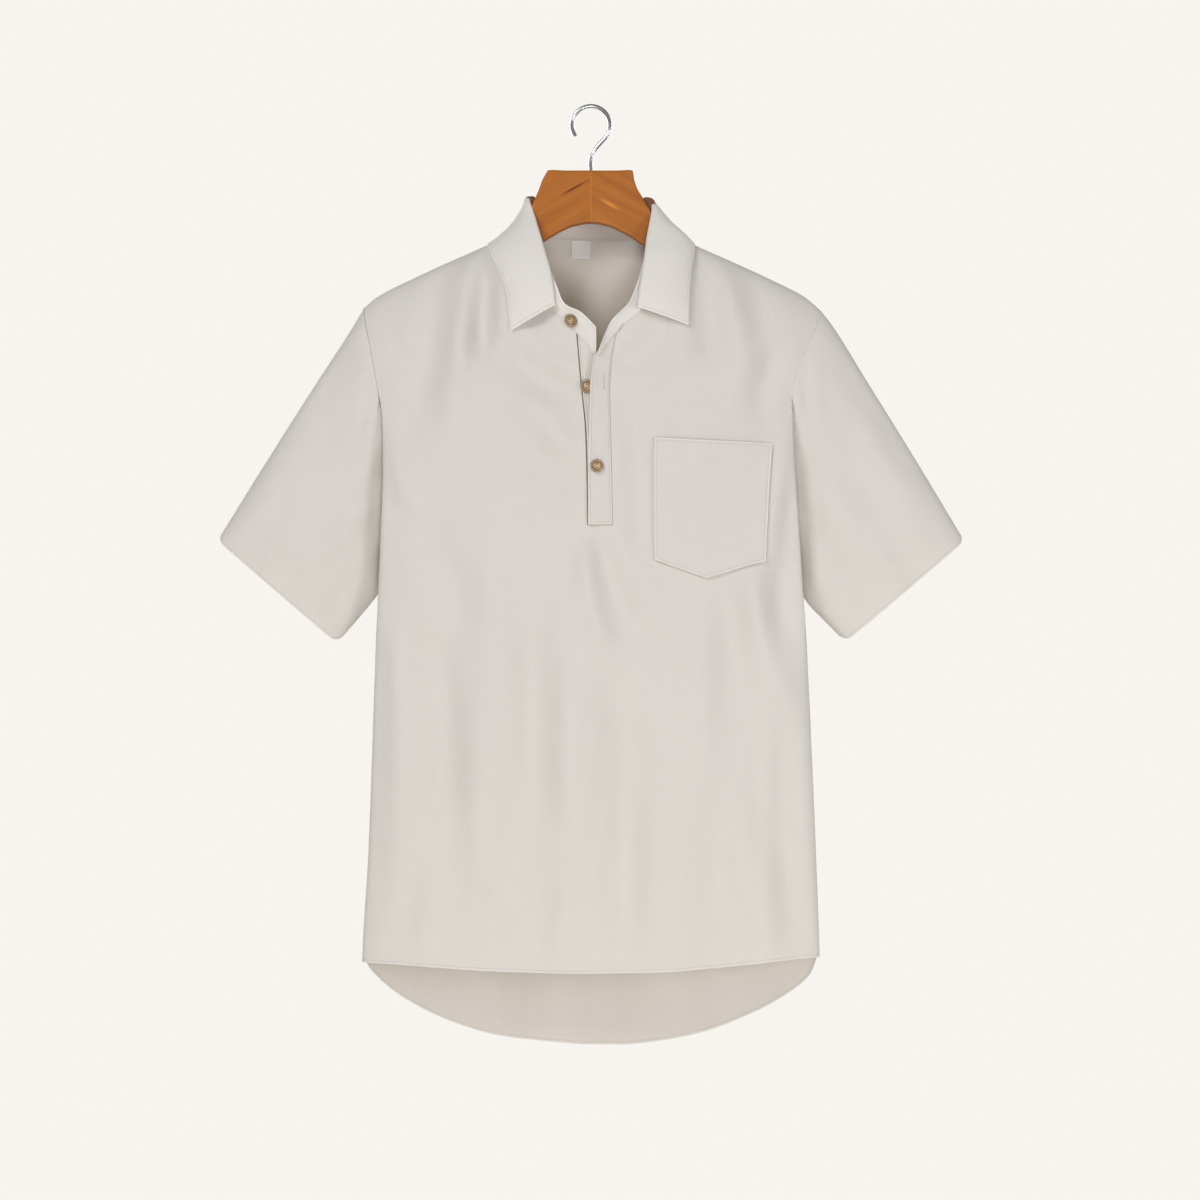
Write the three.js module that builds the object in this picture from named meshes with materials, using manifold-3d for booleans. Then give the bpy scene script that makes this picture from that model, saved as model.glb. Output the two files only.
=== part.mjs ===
// A short-sleeved popover shirt with a half placket, hanging open-necked on a wooden hanger.
// Millimetres. +Z is up, the shirt's front faces -Y, +X is to the right when looking at the front.
// The origin is the inside top of the hanger's hook, where the hook rests on its rail.
import * as THREE from 'three';
import Module from 'manifold-3d';

const wasm = await Module();
wasm.setup();

// Driving sizes.

const CLOTH = 1.5;                 // wall of the body, sleeves and collar
const TRIM = 1.2;                  // wall of the pocket and the placket strips
const LABEL_WALL = 1.0;
const SEAM_GAP = 0.3;              // half of it on each side of a seam that is closed edge to edge
const SLEEVE_SEAM = 0.7;          // from the armhole to the sleeve where the cloth runs straight on
const FOLDED_SEAM = 1.7;           // and more of it where the cloth turns over at the seam
const LAY_GAP = 0.45;              // between a piece and the panel that it lies on
const NECK_HALF_WIDTH = 78;
const FRONT_ROUND = 120;           // height over which the front rounds over the shoulder
const BACK_ROUND = 100;            // and the back
const PLACKET_FOOT = -418;
const UNDERARM = -467;
const BUTTON_RADIUS = 6.5;
const BUTTON_HEIGHT = 2.4;
const BUTTON_RIM = 0.6;
const BUTTON_HOLE_RADIUS = 0.9;
const BUTTON_HOLE_OFFSET = 1.7;

// Garment seen from above, level by level. fold: half width at the outermost fold. edge: half width
// at the panels' side edge (armhole, then side seam). frontEdge, frontFold, frontMiddle and the back
// ones: distance of the cloth from the side plane. roll: 2 where the cloth runs off flat to its
// edge, 1 where it turns over a round fold.
const LEVELS = [
  { z: -85, foldLeft: 226, foldRight: 229, edgeLeft: 226, edgeRight: 229, frontEdge: 23, frontFold: 23,
    frontMiddle: 40, backEdge: 21, backFold: 21, backMiddle: 34, roll: 2 },
  { z: -203, foldLeft: 226, foldRight: 229, edgeLeft: 226, edgeRight: 229, frontEdge: 25, frontFold: 25,
    frontMiddle: 45, backEdge: 23, backFold: 23, backMiddle: 37, roll: 2 },
  { z: -243, foldLeft: 219, foldRight: 213, edgeLeft: 219, edgeRight: 213, frontEdge: 27, frontFold: 27,
    frontMiddle: 48, backEdge: 25, backFold: 25, backMiddle: 38, roll: 2 },
  { z: -287, foldLeft: 211, foldRight: 200, edgeLeft: 211, edgeRight: 200, frontEdge: 29, frontFold: 29,
    frontMiddle: 50, backEdge: 26, backFold: 26, backMiddle: 40, roll: 1.8 },
  { z: -318, foldLeft: 207.2, foldRight: 201, edgeLeft: 206.6, edgeRight: 200, frontEdge: 25, frontFold: 32,
    frontMiddle: 51, backEdge: 22, backFold: 27, backMiddle: 41, roll: 1.4 },
  { z: -363, foldLeft: 206.6, foldRight: 203, edgeLeft: 204, edgeRight: 200.5, frontEdge: 17, frontFold: 35,
    frontMiddle: 52, backEdge: 15, backFold: 28, backMiddle: 42, roll: 1 },
  { z: -420, foldLeft: 208.4, foldRight: 206.5, edgeLeft: 203, edgeRight: 201.5, frontEdge: 9, frontFold: 35,
    frontMiddle: 52, backEdge: 8, backFold: 28, backMiddle: 42, roll: 1 },
  { z: -467, foldLeft: 210.5, foldRight: 209.7, edgeLeft: 200, edgeRight: 200, frontEdge: 0, frontFold: 34,
    frontMiddle: 52, backEdge: 0, backFold: 28, backMiddle: 42, roll: 0.9 },
  { z: -541, foldLeft: 214, foldRight: 214.7, edgeLeft: 203, edgeRight: 204, frontEdge: 0, frontFold: 31,
    frontMiddle: 51, backEdge: 0, backFold: 27, backMiddle: 42, roll: 0.9 },
  { z: -641, foldLeft: 217.6, foldRight: 219.5, edgeLeft: 209.5, edgeRight: 211.5, frontEdge: 0,
    frontFold: 28, frontMiddle: 50, backEdge: 0, backFold: 25, backMiddle: 41, roll: 0.9 },
  { z: -741, foldLeft: 221.5, foldRight: 224, edgeLeft: 217.5, edgeRight: 220, frontEdge: 0, frontFold: 24,
    frontMiddle: 48, backEdge: 0, backFold: 21, backMiddle: 40, roll: 0.9 },
  { z: -850, foldLeft: 228, foldRight: 228, edgeLeft: 227.5, edgeRight: 227.5, frontEdge: 0, frontFold: 19,
    frontMiddle: 46, backEdge: 0, backFold: 17, backMiddle: 39, roll: 0.9 },
  { z: -960, foldLeft: 230, foldRight: 230, edgeLeft: 229.5, edgeRight: 229.5, frontEdge: 0, frontFold: 18,
    frontMiddle: 45, backEdge: 0, backFold: 16, backMiddle: 38, roll: 0.9 },
];

// Top line of the shoulders, from the middle of the neck outwards.
const SHOULDER = [
  { x: 0, z: -85 },
  { x: 60, z: -113 },
  { x: 78, z: -125 },
  { x: 103, z: -136.6 },
  { x: 144, z: -154.8 },
  { x: 184, z: -173.4 },
  { x: 214, z: -189 },
  { x: 230, z: -202.5 },
];

// Neck edge of the front, from the placket up to the shoulder, on the photo's left and right.
const NECK_LEFT = [
  { x: -78, z: -125 },
  { x: -75, z: -140 },
  { x: -68, z: -156 },
  { x: -58, z: -175.5 },
  { x: -46, z: -194 },
  { x: -34.4, z: -208.7 },
  { x: -14.7, z: -226.5 },
  { x: 5.1, z: -249 },
];
const NECK_RIGHT = [
  { x: 5.1, z: -250 },
  { x: 25.8, z: -226.5 },
  { x: 38, z: -215 },
  { x: 48.5, z: -205.7 },
  { x: 60, z: -187 },
  { x: 70, z: -164.5 },
  { x: 76.5, z: -143 },
  { x: 78, z: -125 },
];
const NECK_BACK = [
  { x: -78, z: -125 },
  { x: -52, z: -128 },
  { x: 0, z: -129 },
  { x: 52, z: -128 },
  { x: 78, z: -125 },
];

// Slit of the placket: edge of the left front, edges of the two strips, edge of the right front,
// and how far the loose edge of the top strip stands off.
const PLACKET = [
  { z: -226, slitLeft: -14.7, underRight: 10, overLeft: 6, overRight: 25.3, slitRight: 25.8, lift: 3.2 },
  { z: -256, slitLeft: -12.2, underRight: 12, overLeft: 2.1, overRight: 20.3, slitRight: 20.8, lift: 5 },
  { z: -281, slitLeft: -9.9, underRight: 12.5, overLeft: -0.7, overRight: 18.4, slitRight: 18.9, lift: 6 },
  { z: -324, slitLeft: -5.8, underRight: 12.5, overLeft: -1.8, overRight: 19.2, slitRight: 19.7, lift: 3.6 },
  { z: -363, slitLeft: -4.4, underRight: 12.5, overLeft: -2.7, overRight: 20.2, slitRight: 20.7, lift: 2.3 },
  { z: -418, slitLeft: -3.7, underRight: 12.5, overLeft: -2.9, overRight: 21.3, slitRight: 21.8, lift: 2.3 },
];

const HEM_FRONT = [
  { x: -228, z: -852 },
  { x: -189.5, z: -853.5 },
  { x: -139, z: -857 },
  { x: -80, z: -860 },
  { x: 0, z: -861.5 },
  { x: 58, z: -860.5 },
  { x: 108, z: -857.5 },
  { x: 167, z: -852 },
  { x: 207, z: -848 },
  { x: 228, z: -847 },
];
const HEM_BACK = [
  { x: -228, z: -853 },
  { x: -221, z: -864.5 },
  { x: -192, z: -890.5 },
  { x: -142, z: -916.5 },
  { x: -92, z: -931.5 },
  { x: -41.5, z: -937.6 },
  { x: 0, z: -940.7 },
  { x: 29, z: -940.7 },
  { x: 70, z: -936.6 },
  { x: 110, z: -928.5 },
  { x: 160, z: -909.3 },
  { x: 200, z: -886.8 },
  { x: 221, z: -867.5 },
  { x: 228, z: -848 },
];

// Soft folds of the panels. x: place at the fold's top. lean: sideways run for each mm down.
// rise: how far it stands out, or goes in where it is negative.
const FRONT_FOLDS = [
  { x: -146, top: -455, foot: -790, lean: 0.03, width: 17, rise: -4.5 },
  { x: -172, top: -520, foot: -866, lean: 0.02, width: 16, rise: 3.5 },
  { x: -86, top: -610, foot: -900, lean: 0.05, width: 22, rise: -4 },
  { x: -112, top: -560, foot: -866, lean: 0.01, width: 15, rise: 3 },
  { x: -24, top: -470, foot: -730, lean: 0, width: 14, rise: 3 },
  { x: 12, top: -470, foot: -580, lean: -0.5, width: 13, rise: -2.5 },
  { x: 44, top: -560, foot: -900, lean: -0.03, width: 19, rise: -4 },
  { x: 92, top: -600, foot: -900, lean: -0.02, width: 18, rise: 3.5 },
  { x: 128, top: -480, foot: -866, lean: -0.03, width: 16, rise: -3.5 },
  { x: 158, top: -505, foot: -830, lean: -0.03, width: 15, rise: 4 },
  { x: -48, top: -150, foot: -330, lean: -0.22, width: 13, rise: -2 },
  { x: -122, top: -140, foot: -260, lean: 0.14, width: 12, rise: -2.4 },
  { x: 128, top: -140, foot: -270, lean: -0.12, width: 12, rise: -2.4 },
];
const BACK_FOLDS = [
  { x: -150, top: -430, foot: -900, lean: 0.02, width: 19, rise: -4.5 },
  { x: -95, top: -520, foot: -940, lean: 0.02, width: 18, rise: 4 },
  { x: -40, top: -420, foot: -960, lean: 0, width: 20, rise: -4 },
  { x: 30, top: -480, foot: -960, lean: -0.02, width: 19, rise: 4 },
  { x: 90, top: -400, foot: -930, lean: -0.02, width: 18, rise: -4.5 },
  { x: 145, top: -500, foot: -890, lean: -0.02, width: 17, rise: 3.5 },
  { x: -118, top: -150, foot: -300, lean: 0.1, width: 15, rise: -2.5 },
  { x: 118, top: -150, foot: -300, lean: -0.1, width: 15, rise: -2.5 },
];

// Small helpers.

const mix = (from, to, part) => from + (to - from) * part;
const clamp01 = (value) => Math.min(1, Math.max(0, value));
const smooth = (value) => {
  const part = clamp01(value);
  return part * part * (3 - 2 * part);
};

// Slope through a row of a table: none at a peak or a flat stretch, so that nothing overshoots.
const rowSlope = (before, after) => (before * after <= 0 ? 0 : (2 * before * after) / (before + after));

// Smooth reading of one named column of a table whose rows are ordered by another column.
function read(table, by, column, at) {
  const rising = table[table.length - 1][by] > table[0][by];
  let row = 0;
  while (row < table.length - 2 && (rising ? at > table[row + 1][by] : at < table[row + 1][by])) row += 1;
  const slopeOf = (first) => {
    const [from, to] = [table[first], table[first + 1]];
    return (to[column] - from[column]) / (to[by] - from[by]);
  };
  const from = table[row];
  const to = table[row + 1];
  const span = to[by] - from[by];
  const part = clamp01((at - from[by]) / span);
  const slopeFrom = row > 0 ? rowSlope(slopeOf(row - 1), slopeOf(row)) : slopeOf(row);
  const slopeTo = row + 2 < table.length ? rowSlope(slopeOf(row), slopeOf(row + 1)) : slopeOf(row);
  const square = part * part;
  const cube = square * part;
  return (2 * cube - 3 * square + 1) * from[column] + (cube - 2 * square + part) * span * slopeFrom
    + (3 * square - 2 * cube) * to[column] + (cube - square) * span * slopeTo;
}

// Half a garment section at one level, as fine points from the middle to the side edge.
const ARC_STEPS = 28;
const TURN_STEPS = 8;
function halfSection(face, side, z) {
  const level = (column) => read(LEVELS, 'z', column, Math.min(LEVELS[0].z, z));
  const fold = level(`fold${side}`);
  const edge = level(`edge${side}`);
  const middleDepth = level(`${face}Middle`);
  const foldDepth = level(`${face}Fold`);
  const edgeDepth = level(`${face}Edge`);
  const roll = level('roll');
  const points = [];
  for (let step = 0; step <= ARC_STEPS; step += 1) {
    const angle = (Math.PI / 2) * (step / ARC_STEPS);
    const drop = Math.cos(angle) ** roll;
    points.push([fold * Math.sin(angle), foldDepth + (middleDepth - foldDepth) * drop]);
  }
  for (let step = 1; step <= TURN_STEPS; step += 1) {
    const part = step / TURN_STEPS;
    points.push([mix(fold, edge, smooth(part)), mix(foldDepth, edgeDepth, part)]);
  }
  const lengths = [0];
  for (let at = 1; at < points.length; at += 1) {
    const run = Math.hypot(points[at][0] - points[at - 1][0], points[at][1] - points[at - 1][1]);
    lengths.push(lengths[at - 1] + run);
  }
  return { points, lengths, total: lengths[lengths.length - 1] };
}

function along(section, part) {
  const wanted = clamp01(part) * section.total;
  let at = 0;
  while (at < section.lengths.length - 2 && wanted > section.lengths[at + 1]) at += 1;
  const span = section.lengths[at + 1] - section.lengths[at];
  const share = span > 0 ? (wanted - section.lengths[at]) / span : 0;
  const from = section.points[at];
  const to = section.points[at + 1];
  return [mix(from[0], to[0], share), mix(from[1], to[1], share)];
}

// How much of the full depth the cloth has reached, at a distance below the shoulder line.
function roundOver(below, height) {
  const part = clamp01(below / height);
  return Math.sqrt(1 - (1 - part) * (1 - part));
}

function foldRise(folds, x, z, share) {
  let rise = 0;
  for (const fold of folds) {
    const away = (x - fold.x - fold.lean * (fold.top - z)) / fold.width;
    const length = fold.top - fold.foot;
    const start = smooth((fold.top - z) / (0.4 * length));
    const end = smooth((z - fold.foot) / (0.3 * length));
    rise += fold.rise * Math.exp(-away * away) * start * end;
  }
  return rise * smooth((0.97 - Math.abs(share)) / 0.15);
}

const FACES = {
  front: { sign: -1, round: FRONT_ROUND, folds: FRONT_FOLDS },
  back: { sign: 1, round: BACK_ROUND, folds: BACK_FOLDS },
};

// Point of the body's cloth: share runs from -1 (photo's left edge) over 0 to 1 (right edge).
function bodyPoint(face, share, z) {
  const { sign, round, folds } = FACES[face];
  const [reach, depth] = along(halfSection(face, share < 0 ? 'Left' : 'Right', z), Math.abs(share));
  const x = share < 0 ? -reach : reach;
  const below = read(SHOULDER, 'x', 'z', Math.abs(x)) - z;
  const over = roundOver(below, round);
  const y = sign * (SEAM_GAP + (depth + foldRise(folds, x, z, share)) * over);
  return new THREE.Vector3(x, y, z);
}

// The same point found from its place in the front view.
function bodyAt(face, x, z) {
  const section = halfSection(face, x < 0 ? 'Left' : 'Right', z);
  let share = clamp01(Math.abs(x) / section.total);
  for (let round = 0; round < 6; round += 1) {
    share = clamp01(share + (Math.abs(x) - along(section, share)[0]) / section.total);
  }
  return bodyPoint(face, x < 0 ? -share : share, z);
}

function shareAt(face, x, z) {
  const section = halfSection(face, x < 0 ? 'Left' : 'Right', z);
  let share = clamp01(Math.abs(x) / section.total);
  for (let round = 0; round < 6; round += 1) {
    share = clamp01(share + (Math.abs(x) - along(section, share)[0]) / section.total);
  }
  return x < 0 ? -share : share;
}

// Walls.

function gridNormals(grid, ring) {
  const rows = grid.length;
  const columns = grid[0].length;
  return grid.map((line, row) => line.map((point, column) => {
    const left = ring ? (column + columns - 1) % columns : Math.max(0, column - 1);
    const right = ring ? (column + 1) % columns : Math.min(columns - 1, column + 1);
    const across = line[right].clone().sub(line[left]);
    const up = grid[Math.max(0, row - 1)][column];
    const down = grid[Math.min(rows - 1, row + 1)][column];
    const normal = across.cross(down.clone().sub(up)).normalize();
    if (!ring && Math.abs(point.y) < SEAM_GAP + 0.01) normal.setY(0).normalize();
    return normal;
  }));
}

// A closed wall of even thickness round a grid of points. ring joins the last column to the first,
// keep(row, column) leaves cells out.
function wall(grid, thickness, { ring = false, keep = () => true } = {}) {
  const rows = grid.length;
  const columns = grid[0].length;
  const cellColumns = ring ? columns : columns - 1;
  const normals = gridNormals(grid, ring);
  const positions = [];
  const skins = [0.5, -0.5].map((side) => grid.map((line, row) => line.map((point, column) => {
    const placed = point.clone().addScaledVector(normals[row][column], side * thickness);
    positions.push(placed.x, placed.y, placed.z);
    return positions.length / 3 - 1;
  })));
  const [outer, inner] = skins;
  const held = (row, column) => {
    if (row < 0 || row >= rows - 1) return false;
    if (ring) return keep(row, (column + columns) % columns);
    return column >= 0 && column < cellColumns && keep(row, column);
  };
  const faces = [];
  const rim = (from, to) => {
    const [outFrom, outTo] = [outer[from[0]][from[1]], outer[to[0]][to[1]]];
    const [inFrom, inTo] = [inner[from[0]][from[1]], inner[to[0]][to[1]]];
    faces.push(outTo, outFrom, inFrom, outTo, inFrom, inTo);
  };
  for (let row = 0; row < rows - 1; row += 1) {
    for (let column = 0; column < cellColumns; column += 1) {
      if (!held(row, column)) continue;
      const next = (column + 1) % columns;
      const a = [row, column];
      const b = [row, next];
      const c = [row + 1, next];
      const d = [row + 1, column];
      const at = (skin, spot) => skin[spot[0]][spot[1]];
      faces.push(at(outer, a), at(outer, b), at(outer, c), at(outer, a), at(outer, c), at(outer, d));
      faces.push(at(inner, a), at(inner, c), at(inner, b), at(inner, a), at(inner, d), at(inner, c));
      if (!held(row - 1, column)) rim(a, b);
      if (!held(row + 1, column)) rim(c, d);
      if (!held(row, column - 1)) rim(d, a);
      if (!held(row, column + 1)) rim(b, c);
    }
  }
  return closedGeometry(positions, faces);
}

// Geometry from its points and faces, without the points that no face uses.
function closedGeometry(positions, faces) {
  const renamed = new Map();
  const used = [];
  const index = faces.map((corner) => {
    if (!renamed.has(corner)) {
      renamed.set(corner, used.length / 3);
      used.push(positions[3 * corner], positions[3 * corner + 1], positions[3 * corner + 2]);
    }
    return renamed.get(corner);
  });
  const geometry = new THREE.BufferGeometry();
  geometry.setAttribute('position', new THREE.Float32BufferAttribute(used, 3));
  geometry.setIndex(index);
  geometry.computeVertexNormals();
  return geometry;
}

// Finishes.

const FINISHES = {
  cloth: { color: 0xd8d3cd, roughness: 0.9, metalness: 0 },
  label: { color: 0xf2efe9, roughness: 0.8, metalness: 0 },
  button: { color: 0x9a8060, roughness: 0.45, metalness: 0 },
  wood: { color: 0xb1713f, roughness: 0.35, metalness: 0 },
  hook: { color: 0xb9bcc0, roughness: 0.25, metalness: 1 },
};

const shirt = new THREE.Group();
shirt.name = 'popover_shirt_on_hanger';

function add(name, geometry, finish) {
  const mesh = new THREE.Mesh(geometry, new THREE.MeshStandardMaterial(FINISHES[finish]));
  mesh.name = name;
  shirt.add(mesh);
}

// Body panels.

const SHOULDER_CELLS = 9;
const LEFT_NECK_CELLS = 5;
const RIGHT_NECK_CELLS = 4;
const SLIT_CELLS = 2;
const BACK_NECK_CELLS = 8;
const CHEST_ROWS = 11;
const SIDE_ROWS = 2;
const SKIRT_ROWS = 12;
const ROW_CROWDING = 1.6;          // rows lie closer together under the shoulder line

const slit = (column, z) => read(PLACKET, 'z', column, z);
const STOPS = {
  front: [
    { cells: SHOULDER_CELLS, from: () => -1, to: (z) => shareAt('front', -NECK_HALF_WIDTH, z) },
    { cells: LEFT_NECK_CELLS, from: (z) => shareAt('front', -NECK_HALF_WIDTH, z),
      to: (z) => shareAt('front', slit('slitLeft', z), z) },
    { cells: SLIT_CELLS, from: (z) => shareAt('front', slit('slitLeft', z), z),
      to: (z) => shareAt('front', slit('slitRight', z), z) },
    { cells: RIGHT_NECK_CELLS, from: (z) => shareAt('front', slit('slitRight', z), z),
      to: (z) => shareAt('front', NECK_HALF_WIDTH, z) },
    { cells: SHOULDER_CELLS, from: (z) => shareAt('front', NECK_HALF_WIDTH, z), to: () => 1 },
  ],
  back: [
    { cells: SHOULDER_CELLS, from: () => -1, to: (z) => shareAt('back', -NECK_HALF_WIDTH, z) },
    { cells: BACK_NECK_CELLS, from: (z) => shareAt('back', -NECK_HALF_WIDTH, z),
      to: (z) => shareAt('back', NECK_HALF_WIDTH, z) },
    { cells: SHOULDER_CELLS, from: (z) => shareAt('back', NECK_HALF_WIDTH, z), to: () => 1 },
  ],
};

function topLine(face, x) {
  if (Math.abs(x) >= NECK_HALF_WIDTH) return read(SHOULDER, 'x', 'z', Math.abs(x));
  if (face === 'back') return read(NECK_BACK, 'x', 'z', x);
  return x < 0 ? read(NECK_LEFT, 'x', 'z', x) : read(NECK_RIGHT, 'x', 'z', x);
}

// The columns of a panel, each as a function that gives its share of the section at a height.
function panelColumns(face) {
  const columns = [];
  for (const [at, block] of STOPS[face].entries()) {
    for (let cell = at === 0 ? 0 : 1; cell <= block.cells; cell += 1) {
      columns.push((z) => mix(block.from(z), block.to(z), cell / block.cells));
    }
  }
  return columns;
}

function panelGrid(face, hem) {
  const columns = panelColumns(face);
  const grid = Array.from({ length: CHEST_ROWS + SIDE_ROWS + SKIRT_ROWS + 1 }, () => []);
  for (const share of columns) {
    let top = -160;
    for (let round = 0; round < 8; round += 1) {
      top = topLine(face, bodyPoint(face, share(top), top).x);
    }
    let foot = -860;
    for (let round = 0; round < 5; round += 1) {
      foot = read(hem, 'x', 'z', bodyPoint(face, share(foot), foot).x);
    }
    for (let row = 0; row <= CHEST_ROWS; row += 1) {
      const z = mix(top, PLACKET_FOOT, (row / CHEST_ROWS) ** ROW_CROWDING);
      grid[row].push(bodyPoint(face, share(z), z));
    }
    for (let row = 1; row <= SIDE_ROWS; row += 1) {
      const z = mix(PLACKET_FOOT, UNDERARM, row / SIDE_ROWS);
      grid[CHEST_ROWS + row].push(bodyPoint(face, share(z), z));
    }
    for (let row = 1; row <= SKIRT_ROWS; row += 1) {
      const z = mix(UNDERARM, foot, row / SKIRT_ROWS);
      grid[CHEST_ROWS + SIDE_ROWS + row].push(bodyPoint(face, share(z), z));
    }
  }
  return grid;
}

const slitStart = SHOULDER_CELLS + LEFT_NECK_CELLS;
const slitEnd = slitStart + SLIT_CELLS;
const outsideSlit = (row, column) => row >= CHEST_ROWS || column < slitStart || column >= slitEnd;

const frontGrid = panelGrid('front', HEM_FRONT);
const backGrid = panelGrid('back', HEM_BACK).map((line) => line.reverse());
add('front', wall(frontGrid, CLOTH, { keep: outsideSlit }), 'cloth');
add('back', wall(backGrid, CLOTH), 'cloth');

// Sleeves.

// Outline of each sleeve seen from the front: its upper line, its underarm line, half its depth.
const SLEEVES = {
  left: [
    { part: 0, topX: 226.6, topZ: -202, underX: 200, underZ: -467.6, depth: 18 },
    { part: 0.1, topX: 238.3, topZ: -221.3, underX: 204, underZ: -473, depth: 21 },
    { part: 0.35, topX: 276, topZ: -277.2, underX: 214, underZ: -488.2, depth: 25 },
    { part: 0.7, topX: 328.9, topZ: -360.2, underX: 233.3, underZ: -511.8, depth: 25 },
    { part: 1, topX: 373.4, topZ: -432, underX: 253.5, underZ: -535.3, depth: 22 },
  ],
  right: [
    { part: 0, topX: 229.6, topZ: -203, underX: 200, underZ: -467.6, depth: 18 },
    { part: 0.1, topX: 241.2, topZ: -217.6, underX: 204, underZ: -474.4, depth: 21 },
    { part: 0.35, topX: 278, topZ: -276.2, underX: 214.5, underZ: -493, depth: 25 },
    { part: 0.7, topX: 330, topZ: -360.2, underX: 234.6, underZ: -514.5, depth: 25 },
    { part: 1, topX: 373.4, topZ: -432.6, underX: 254, underZ: -534, depth: 22 },
  ],
};
const SLEEVE_STATIONS = [0, 0.05, 0.12, 0.21, 0.32, 0.44, 0.57, 0.7, 0.82, 0.92, 1];
const CAP_REACH = 0.4;             // share of the sleeve over which its head loses the armhole's form
const MOUTH_WIDTH = 158;
const MOUTH_CORNER = 6;            // radius at both ends of the mouth, seen from the front
const UPPER_LENGTH = 273;          // of the sleeve along its upper fold
const UNDER_LENGTH = 86;           // and along the underarm

// A share of the sleeve's length, shortened towards the mouth's two rounded corners.
function roundedPart(part, lie) {
  const beside = Math.min(MOUTH_CORNER, MOUTH_WIDTH * Math.min(lie, 1 - lie));
  const cut = MOUTH_CORNER - Math.sqrt(MOUTH_CORNER ** 2 - (MOUTH_CORNER - beside) ** 2);
  return part - (cut / mix(UPPER_LENGTH, UNDER_LENGTH, lie)) * part ** 6;
}

function sleeveOval(rows, part, lie, facing) {
  const at = (column) => read(rows, 'part', column, roundedPart(part, lie));
  const across = 2 * Math.sqrt(Math.max(0, lie * (1 - lie)));
  const y = facing * at('depth') * across ** 0.8;
  return new THREE.Vector3(mix(at('topX'), at('underX'), lie), y, mix(at('topZ'), at('underZ'), lie));
}

// One ring round an armhole, from the shoulder down the front and up the back: each panel's edge
// moved on along the cloth by the seam's gap. lie runs from 0 at the shoulder to 1 under the arm.
function armholeRing(side) {
  const end = side === 'left' ? -1 : 1;
  const lastRow = CHEST_ROWS + SIDE_ROWS;
  const ring = [];
  const place = (face, grid, row) => {
    const edge = grid[row][(face === 'front') === (side === 'left') ? 0 : grid[row].length - 1].clone();
    const run = edge.clone().sub(bodyPoint(face, 0.985 * end, edge.z)).setZ(0).normalize();
    const step = SLEEVE_SEAM + FOLDED_SEAM * run.y * run.y;
    const lie = (grid[0][0].z - edge.z) / (grid[0][0].z - UNDERARM);
    edge.addScaledVector(run, step);
    if (row === 0 || row === lastRow) edge.y = 0;
    if (row === lastRow) edge.z += SLEEVE_SEAM;
    edge.x = Math.abs(edge.x) + (row === lastRow ? CLOTH + SLEEVE_SEAM : 0);
    ring.push({ point: edge, lie: clamp01(lie), facing: face === 'front' ? -1 : 1 });
  };
  for (let row = 0; row <= lastRow; row += 1) place('front', frontGrid, row);
  for (let row = lastRow - 1; row > 0; row -= 1) place('back', backGrid, row);
  return ring;
}

for (const [side, rows] of Object.entries(SLEEVES)) {
  const mirror = side === 'left' ? -1 : 1;
  const ring = armholeRing(side);
  const grid = SLEEVE_STATIONS.map((part) => {
    const line = ring.map(({ point, lie, facing }) => {
      const shift = point.clone().sub(sleeveOval(rows, 0, lie, facing));
      const placed = sleeveOval(rows, part, lie, facing).addScaledVector(shift, 1 - smooth(part / CAP_REACH));
      return placed.setX(mirror * placed.x);
    });
    return mirror < 0 ? line : line.reverse();
  });
  add(`sleeve_${side}`, wall(grid, CLOTH, { ring: true }), 'cloth');
}

// Lying on the front.

// A cloth's point at a place in the front view, found on its grid so that what lies on it follows
// its facets, and the direction out of that facet towards the front.
function onPanel(grid, x, z) {
  for (let row = 0; row < grid.length - 1; row += 1) {
    for (let column = 0; column < grid[0].length - 1; column += 1) {
      const [a, b] = [grid[row][column], grid[row][column + 1]];
      const [d, c] = [grid[row + 1][column], grid[row + 1][column + 1]];
      for (const [p, q, r] of [[a, b, c], [a, c, d]]) {
        const area = (q.x - p.x) * (r.z - p.z) - (r.x - p.x) * (q.z - p.z);
        const towardQ = ((x - p.x) * (r.z - p.z) - (r.x - p.x) * (z - p.z)) / area;
        const towardR = ((q.x - p.x) * (z - p.z) - (x - p.x) * (q.z - p.z)) / area;
        if (towardQ < -1e-6 || towardR < -1e-6 || towardQ + towardR > 1 + 1e-6) continue;
        const [toQ, toR] = [q.clone().sub(p), r.clone().sub(p)];
        const point = p.clone().addScaledVector(toQ, towardQ).addScaledVector(toR, towardR);
        const normal = toQ.cross(toR).normalize();
        return { point, normal: normal.y > 0 ? normal.negate() : normal };
      }
    }
  }
  throw new Error(`no cloth at ${x}, ${z}`);
}

function clothNormal(x, z) {
  const reach = 6;
  const across = bodyAt('front', x + reach, z).sub(bodyAt('front', x - reach, z));
  const down = bodyAt('front', x, z - reach).sub(bodyAt('front', x, z + reach));
  const normal = across.cross(down).normalize();
  return normal.y > 0 ? normal.negate() : normal;
}

// Placket.

const STRIP_ROWS = 14;
const STRIP_CELLS = 3;
const STRIP_FOOT = PLACKET_FOOT + 0.45;
const UNDER_SINK = 1.4;            // the under strip's loose edge lies this far inside the front

function stripGrid(leftColumn, rightColumn, leftTop, rightTop, insetLeft, out) {
  const grid = [];
  for (let row = 0; row <= STRIP_ROWS; row += 1) {
    const line = [];
    for (let cell = 0; cell <= STRIP_CELLS; cell += 1) {
      const across = cell / STRIP_CELLS;
      const z = mix(mix(leftTop, rightTop, across), STRIP_FOOT, row / STRIP_ROWS);
      const x = mix(slit(leftColumn, z) + insetLeft, slit(rightColumn, z), across);
      const point = bodyAt('front', x, z);
      point.y -= out(across, z);
      line.push(point);
    }
    grid.push(line);
  }
  return grid;
}

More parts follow.
